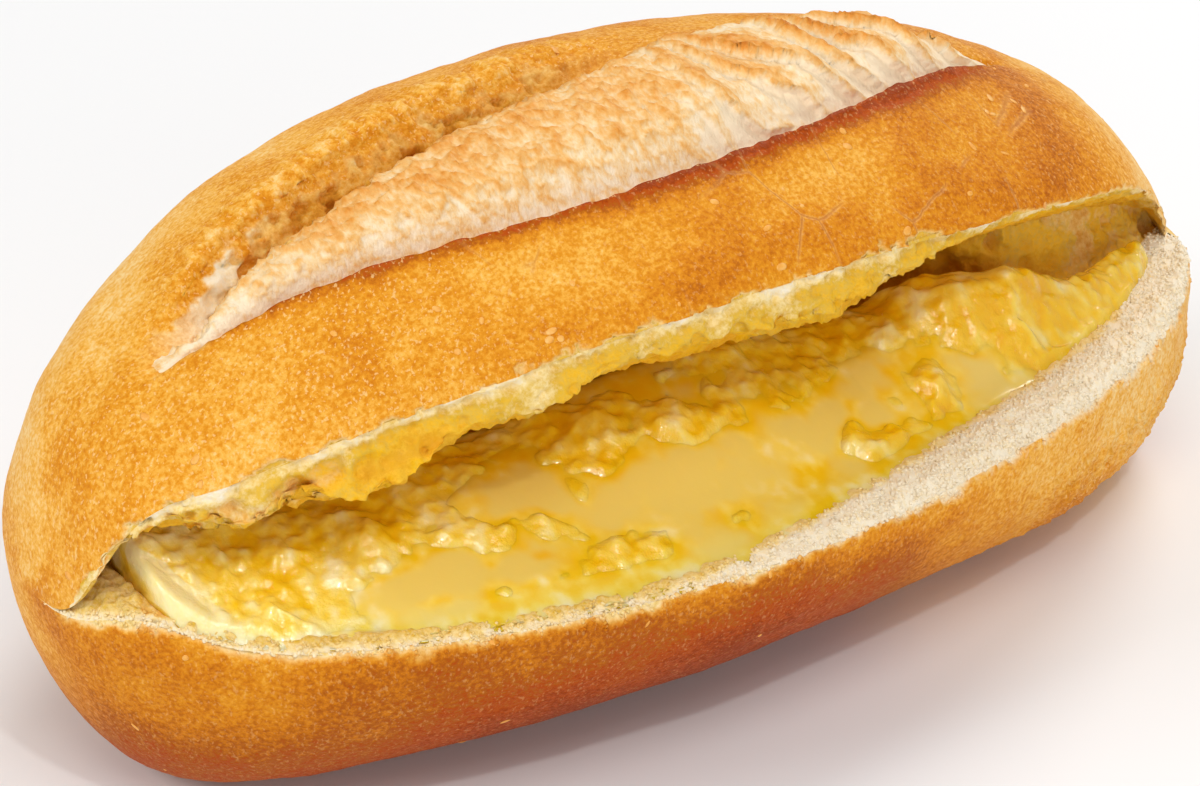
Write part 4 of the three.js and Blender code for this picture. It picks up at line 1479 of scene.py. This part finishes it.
def hairline_cracks_group():
    """Wandering hairlines that break off here and there."""
    tree, given, result = new_group("hairline_cracks", ["Scale", "Width"], ["Mask"])
    place = given["Place"]
    wander = link_nodes(tree, "ShaderNodeTexNoise", {"Vector": place, **CRACK_WANDER})
    offset = vector_math(tree, "SCALE", {0: wander.outputs["Color"], "Scale": CRACK_WANDER_REACH})
    moved = vector_math(tree, "ADD", {0: place, 1: offset})
    netting = {"Vector": moved, "Scale": given["Scale"], "Randomness": 1.0}
    cells = link_nodes(tree, "ShaderNodeTexVoronoi", netting, feature="DISTANCE_TO_EDGE")
    line = calculate(tree, "DIVIDE", cells.outputs["Distance"], given["Width"])
    line = range_of(tree, line, *CRACK_LINE, 1.0, 0.0)
    broken = range_of(tree, texture_noise(tree, place, **CRACK_BREAKS), *CRACK_BREAK_STOPS)
    tree.links.new(product(tree, line, broken), result["Mask"])
    return tree


def mottling_group():
    """Soft blotches around zero."""
    tree, given, result = new_group("mottling", ["Scale", "Amount"], ["Value"])
    blotches = texture_noise(tree, given["Place"], given["Scale"], **MOTTLING_NOISE)
    centred = range_of(tree, blotches, *MOTTLING_SPAN, -1.0, 1.0)
    tree.links.new(product(tree, centred, given["Amount"]), result["Value"])
    return tree


def fine_grain_group():
    """Grain finer than a millimetre: a value around zero, and a height for bump."""
    tree, given, result = new_group("fine_grain", ["Scale", "Amount"], ["Value", "Height"])
    grain = texture_noise(tree, given["Place"], given["Scale"], **GRAIN_NOISE)
    centred = range_of(tree, grain, *GRAIN_SPAN, -1.0, 1.0)
    tree.links.new(product(tree, centred, given["Amount"]), result["Value"])
    tree.links.new(grain, result["Height"])
    return tree


def new_material(name, **constants):
    material = bpy.data.materials.new(name)
    material.use_nodes = True
    tree = material.node_tree
    shader = next(found for found in tree.nodes if found.type == "BSDF_PRINCIPLED")
    for socket, value in constants.items():
        shader.inputs[socket.replace("_", " ")].default_value = value
    place = link_nodes(tree, "ShaderNodeTexCoord").outputs["Object"]
    return material, tree, shader, place


def set_roughness(tree, shader, middle, swings):
    """Roughness around a middle, moved by some values, each with an amount."""
    rough = middle
    for value, amount in swings:
        rough = total(tree, product(tree, value, amount), rough)
    tree.links.new(rough, shader.inputs["Roughness"])


def set_bump(tree, shader, height, strength):
    inputs = {"Height": height, "Strength": strength, "Distance": BUMP_DISTANCE}
    bump = link_nodes(tree, "ShaderNodeBump", inputs)
    tree.links.new(bump.outputs["Normal"], shader.inputs["Normal"])


# Materials, with colours by how brown, soaked or creamy a place is, and by the painted light and shade that
# these marks also carry

BUMP_DISTANCE = 0.0004
CRUST_COLOURS = [
    (0.0, "f9d48e"), (0.18, "f2b44a"), (0.34, "e2941c"), (0.5, "d07a0c"), (0.66, "b05c08"), (0.8, "b64c04"),
    (1.0, "963a02"),
]
# Crumb colours by how soaked it is; the darker stop at 0.6, where most crumb under the lid falls, is painted
# shade
CRUMB_COLOURS = [(0.0, "f6e9d0"), (0.3, "f6dc9c"), (0.6, "deb23c"), (0.85, "eeb61a"), (1.0, "e6a80c")]
# Colours of browned crumb, whose darker end also paints the shade in the valley and the mouth
TOASTED_AND_SHADED_CRUMB_COLOURS = [(0.0, "f4dcaa"), (0.3, "eec06c"), (0.6, "d8942c"), (1.0, "985208")]
TOASTED_AND_SHADED_CRUMB = (0.05, 0.4)
FLECK_COLOUR = "f8ce8a"
FLECK_STRENGTH = 0.6
CRACK_COLOUR = "b4600c"
CRACK_STRENGTH = 0.45
CRACK_DEPTH = 0.3
CRACK_STRETCH = (1.0, 0.6, 0.6)
CRACK_EDGE_STRENGTH = 0.22
BREAD_MOTTLING = {"Scale": 520.0, "Amount": 0.05}
BREAD_GRAIN = {"Scale": 2000.0, "Amount": 0.12}
BREAD_FLECKS = {"Scale": 2700.0, "Share": 0.42}
BREAD_CRACKS = {"Scale": 85.0, "Width": 0.009}
BREAD_CRACK_EDGES = {"Scale": 85.0, "Width": 0.02}
BREAD_ROUGHNESS = {"middle": 0.5, "grain": 0.8, "crumb": 0.1}
BREAD_BUMP = 0.55


def bread_material(flecks, cracks, mottling, fine_grain):
    material, tree, shader, place = new_material("baked_bread", Specular_IOR_Level=0.1)
    crumb = mark_of(tree, "crumb")
    toast = mark_of(tree, "toast")
    crackle = mark_of(tree, "crackle")
    grain = use_group(tree, fine_grain, place, BREAD_GRAIN)
    uneven = total(tree, use_group(tree, mottling, place, BREAD_MOTTLING)["Value"], grain["Value"])
    crust = colours_along(tree, total(tree, toast, uneven, True), CRUST_COLOURS)

    freckled = product(tree, mark_of(tree, "fleck"), FLECK_STRENGTH)
    fleck = product(tree, use_group(tree, flecks, place, BREAD_FLECKS)["Mask"], freckled)
    crust = blend(tree, fleck, crust, colour(FLECK_COLOUR))
    lines = stretched(tree, place, CRACK_STRETCH)
    crack = product(tree, use_group(tree, cracks, lines, BREAD_CRACKS)["Mask"], crackle)
    edges = product(tree, use_group(tree, cracks, lines, BREAD_CRACK_EDGES)["Mask"], crackle)
    crust = blend(tree, product(tree, edges, CRACK_EDGE_STRENGTH), crust, colour(FLECK_COLOUR))
    crust = blend(tree, product(tree, crack, CRACK_STRENGTH), crust, colour(CRACK_COLOUR))

    inside = colours_along(tree, total(tree, mark_of(tree, "soak"), uneven, True), CRUMB_COLOURS)
    # Browned crumb, which also carries the painted shade in the valley and the mouth
    browned_and_shaded = colours_along(tree, total(tree, toast, grain["Value"], True), TOASTED_AND_SHADED_CRUMB_COLOURS)
    inside = blend(tree, range_of(tree, toast, *TOASTED_AND_SHADED_CRUMB), inside, browned_and_shaded)
    tree.links.new(blend(tree, crumb, crust, inside), shader.inputs["Base Color"])
    swings = [(grain["Value"], BREAD_ROUGHNESS["grain"]), (crumb, BREAD_ROUGHNESS["crumb"])]
    set_roughness(tree, shader, BREAD_ROUGHNESS["middle"], swings)
    height = calculate(tree, "SUBTRACT", grain["Height"], product(tree, crack, CRACK_DEPTH))
    set_bump(tree, shader, height, BREAD_BUMP)
    return material


# The palest stop, which the strip by the ear takes, is lightened as painted light
BULGE_COLOURS = [(0.0, "fae6c4"), (0.25, "f4d29c"), (0.5, "eeb668"), (0.75, "e4983c"), (1.0, "cb7822")]
BULGE_MOTTLING = {"Scale": 420.0, "Amount": 0.09}
BULGE_FIBRES = {"Scale": 2200.0, "Amount": 0.14}
BULGE_FIBRE_STRETCH = (1.0, 0.45, 0.6)
BULGE_ROUGHNESS = {"middle": 0.48, "fibres": 0.5}
BULGE_BUMP = 0.7


def bulge_material(mottling, fine_grain):
    material, tree, shader, place = new_material("stretched_crust", Specular_IOR_Level=0.2)
    blotch = use_group(tree, mottling, place, BULGE_MOTTLING)["Value"]
    fibre = use_group(tree, fine_grain, stretched(tree, place, BULGE_FIBRE_STRETCH), BULGE_FIBRES)
    browning_and_light = total(tree, total(tree, mark_of(tree, "toast"), blotch), fibre["Value"], True)
    tree.links.new(colours_along(tree, browning_and_light, BULGE_COLOURS), shader.inputs["Base Color"])
    swings = [(fibre["Value"], BULGE_ROUGHNESS["fibres"])]
    set_roughness(tree, shader, BULGE_ROUGHNESS["middle"], swings)
    set_bump(tree, shader, fibre["Height"], BULGE_BUMP)
    return material


BLISTER_COLOURS = [(0.0, "f2bd6a"), (0.5, "eca748"), (1.0, "e2922c")]
BLISTER_MOTTLING = {"Scale": 1400.0, "Amount": 0.35}
BLISTER_TONE = 0.45
BLISTER_ROUGHNESS = (0.36, 0.5)


def blister_material(mottling):
    material, tree, shader, place = new_material("pale_blister", Specular_IOR_Level=0.35)
    blotch = use_group(tree, mottling, place, BLISTER_MOTTLING)["Value"]
    share = total(tree, blotch, BLISTER_TONE, True)
    tree.links.new(colours_along(tree, share, BLISTER_COLOURS), shader.inputs["Base Color"])
    tree.links.new(range_of(tree, share, 0.0, 1.0, *BLISTER_ROUGHNESS), shader.inputs["Roughness"])
    return material


BUTTER_COLOURS = [(0.0, "f1b900"), (0.35, "f4c51a"), (0.65, "f8d556"), (1.0, "fbe7a6")]
MILK_COLOUR = "ebce68"
MILK_TURN = (0.1, 0.8)
FILLING_MOTTLING = {"Scale": 240.0, "Amount": 0.2}
FILLING_ROUGHNESS = 0.2
BUTTER_GRAIN = {"Scale": 1100.0, "Amount": 0.08}
BUTTER_BUMP = 0.45
MILK_GRAIN = {"Scale": 500.0, "Amount": 0.04}
MILK_BUMP = 0.08


def filling_material(name, mottling, fine_grain, grain_settings, bump, **constants):
    """Butter by how creamy it is, with painted light and shade on its curds, turning to milk."""
    material, tree, shader, place = new_material(name, **constants)
    blotch = use_group(tree, mottling, place, FILLING_MOTTLING)["Value"]
    grain = use_group(tree, fine_grain, place, grain_settings)
    butter = colours_along(tree, total(tree, mark_of(tree, "cream"), blotch, True), BUTTER_COLOURS)
    milky = range_of(tree, mark_of(tree, "milky"), *MILK_TURN)
    tree.links.new(blend(tree, milky, butter, colour(MILK_COLOUR)), shader.inputs["Base Color"])
    set_roughness(tree, shader, FILLING_ROUGHNESS, [(grain["Value"], 1.0)])
    set_bump(tree, shader, grain["Height"], bump)
    return material


def butter_material(mottling, fine_grain):
    return filling_material(
        "butter", mottling, fine_grain, BUTTER_GRAIN, BUTTER_BUMP,
        Subsurface_Weight=0.5, Subsurface_Radius=(1.0, 0.85, 0.3), Subsurface_Scale=0.0014,
        Specular_IOR_Level=0.6, Coat_Weight=0.4, Coat_Roughness=0.05,
    )


def milk_material(mottling, fine_grain):
    return filling_material(
        "condensed_milk", mottling, fine_grain, MILK_GRAIN, MILK_BUMP,
        Subsurface_Weight=0.4, Subsurface_Radius=(1.0, 0.8, 0.4), Subsurface_Scale=0.0012,
        Coat_Weight=0.7, Coat_Roughness=0.05,
    )


# Stage

FLOOR_SIZE = 3.0
FLOOR_COLOUR = (0.85, 0.85, 0.85, 1)
LIGHTS_AIM = (0, 0, 0.03)
LIGHTS = {
    "key": {"place": (-0.2, -0.42, 0.8), "size": 0.5, "power": 2.1},
    "left_fill": {"place": (-0.45, -0.8, 0.24), "size": 0.5, "power": 1.3},
    "right_fill": {"place": (0.35, -0.84, 0.2), "size": 0.4, "power": 0.95},
    "left_back": {"place": (-0.7, 0.2, 0.5), "size": 0.4, "power": 2.6},
    "right_back": {"place": (0.55, 0.3, 0.55), "size": 0.4, "power": 3.0},
    "spark": {"place": (-0.12, -0.5, 0.75), "size": 0.04, "power": 1.0},
}
SKY_BRIGHTNESS = 0.36


def make_light(name, place, size, power):
    data = bpy.data.lights.new(name, "AREA")
    data.shape = "DISK"
    data.size = size
    data.energy = power
    light = bpy.data.objects.new(name, data)
    light.location = place
    light.rotation_euler = (Vector(LIGHTS_AIM) - Vector(place)).to_track_quat("-Z", "Y").to_euler()
    bpy.context.scene.collection.objects.link(light)


def make_stage():
    floor_mesh = bpy.data.meshes.new("floor")
    half = FLOOR_SIZE / 2
    corners = [(-half, -half, 0), (half, -half, 0), (half, half, 0), (-half, half, 0)]
    floor_mesh.from_pydata(corners, [], [(0, 1, 2, 3)])
    floor = bpy.data.objects.new("floor", floor_mesh)
    bpy.context.scene.collection.objects.link(floor)
    material, _, _, _ = new_material("pale_floor", Roughness=0.9, Base_Color=FLOOR_COLOUR)
    floor_mesh.materials.append(material)
    for name, light in LIGHTS.items():
        make_light(name, **light)
    world = bpy.data.worlds.new("studio")
    world.use_nodes = True
    background = world.node_tree.nodes["Background"]
    background.inputs["Color"].default_value = (1, 1, 1, 1)
    background.inputs["Strength"].default_value = SKY_BRIGHTNESS
    bpy.context.scene.world = world


def make_camera():
    data = bpy.data.cameras.new("camera")
    data.lens = CAMERA_LENS
    data.sensor_width = CAMERA_SENSOR
    data.sensor_fit = "HORIZONTAL"
    camera = bpy.data.objects.new("camera", data)
    level = math.cos(CAMERA_ELEVATION)
    rise = math.sin(CAMERA_ELEVATION)
    back = Vector((math.sin(CAMERA_AZIMUTH) * level, -math.cos(CAMERA_AZIMUTH) * level, rise))
    camera.location = (Vector(CAMERA_TARGET) + CAMERA_DISTANCE * back) * MM
    camera.rotation_euler = back.to_track_quat("Z", "Y").to_euler()
    bpy.context.scene.collection.objects.link(camera)
    bpy.context.scene.camera = camera


make_camera()
make_stage()
bpy.context.scene.view_settings.view_transform = "Standard"

mottling = mottling_group()
fine_grain = fine_grain_group()
baked = bread_material(pale_flecks_group(), hairline_cracks_group(), mottling, fine_grain)
butter_finish = butter_material(mottling, fine_grain)
milk_finish = milk_material(mottling, fine_grain)

loaf = loaf_piece(baked)
bulge = bulge_piece(bulge_material(mottling, fine_grain))
butter = butter_piece(butter_finish)
milk = milk_piece(milk_finish)

blisters = scattered(
    "crust_blisters", scatter_tree("small_lumps", 10, 7), loaf,
    {
        "Mark": "blister", "Per square metre": 18000.0, "Smallest": (0.00018, 0.00014, 0.00003),
        "Largest": (0.00065, 0.00045, 0.00008), "Unevenness": 0.5, "Tilt": 0.0, "Seed": 3,
        "Finish": blister_material(mottling),
    },
)
grains = scattered(
    "crumb_grains", scatter_tree("crumb_grains", 5, 4), loaf,
    {
        "Mark": "grain", "Per square metre": 4500000.0, "Smallest": (0.0001, 0.0001, 0.0001),
        "Largest": (0.0004, 0.00026, 0.00036), "Unevenness": 0.9, "Tilt": 0.7, "Seed": 5, "Finish": baked,
    },
)

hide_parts("bread")
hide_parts("butter")
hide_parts("condensed_milk")
SLOTS = {"bread": [loaf, bulge, blisters, grains], "butter": [butter], "condensed_milk": [milk]}
for slot, pieces in SLOTS.items():
    for piece in pieces:
        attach(piece, "root")
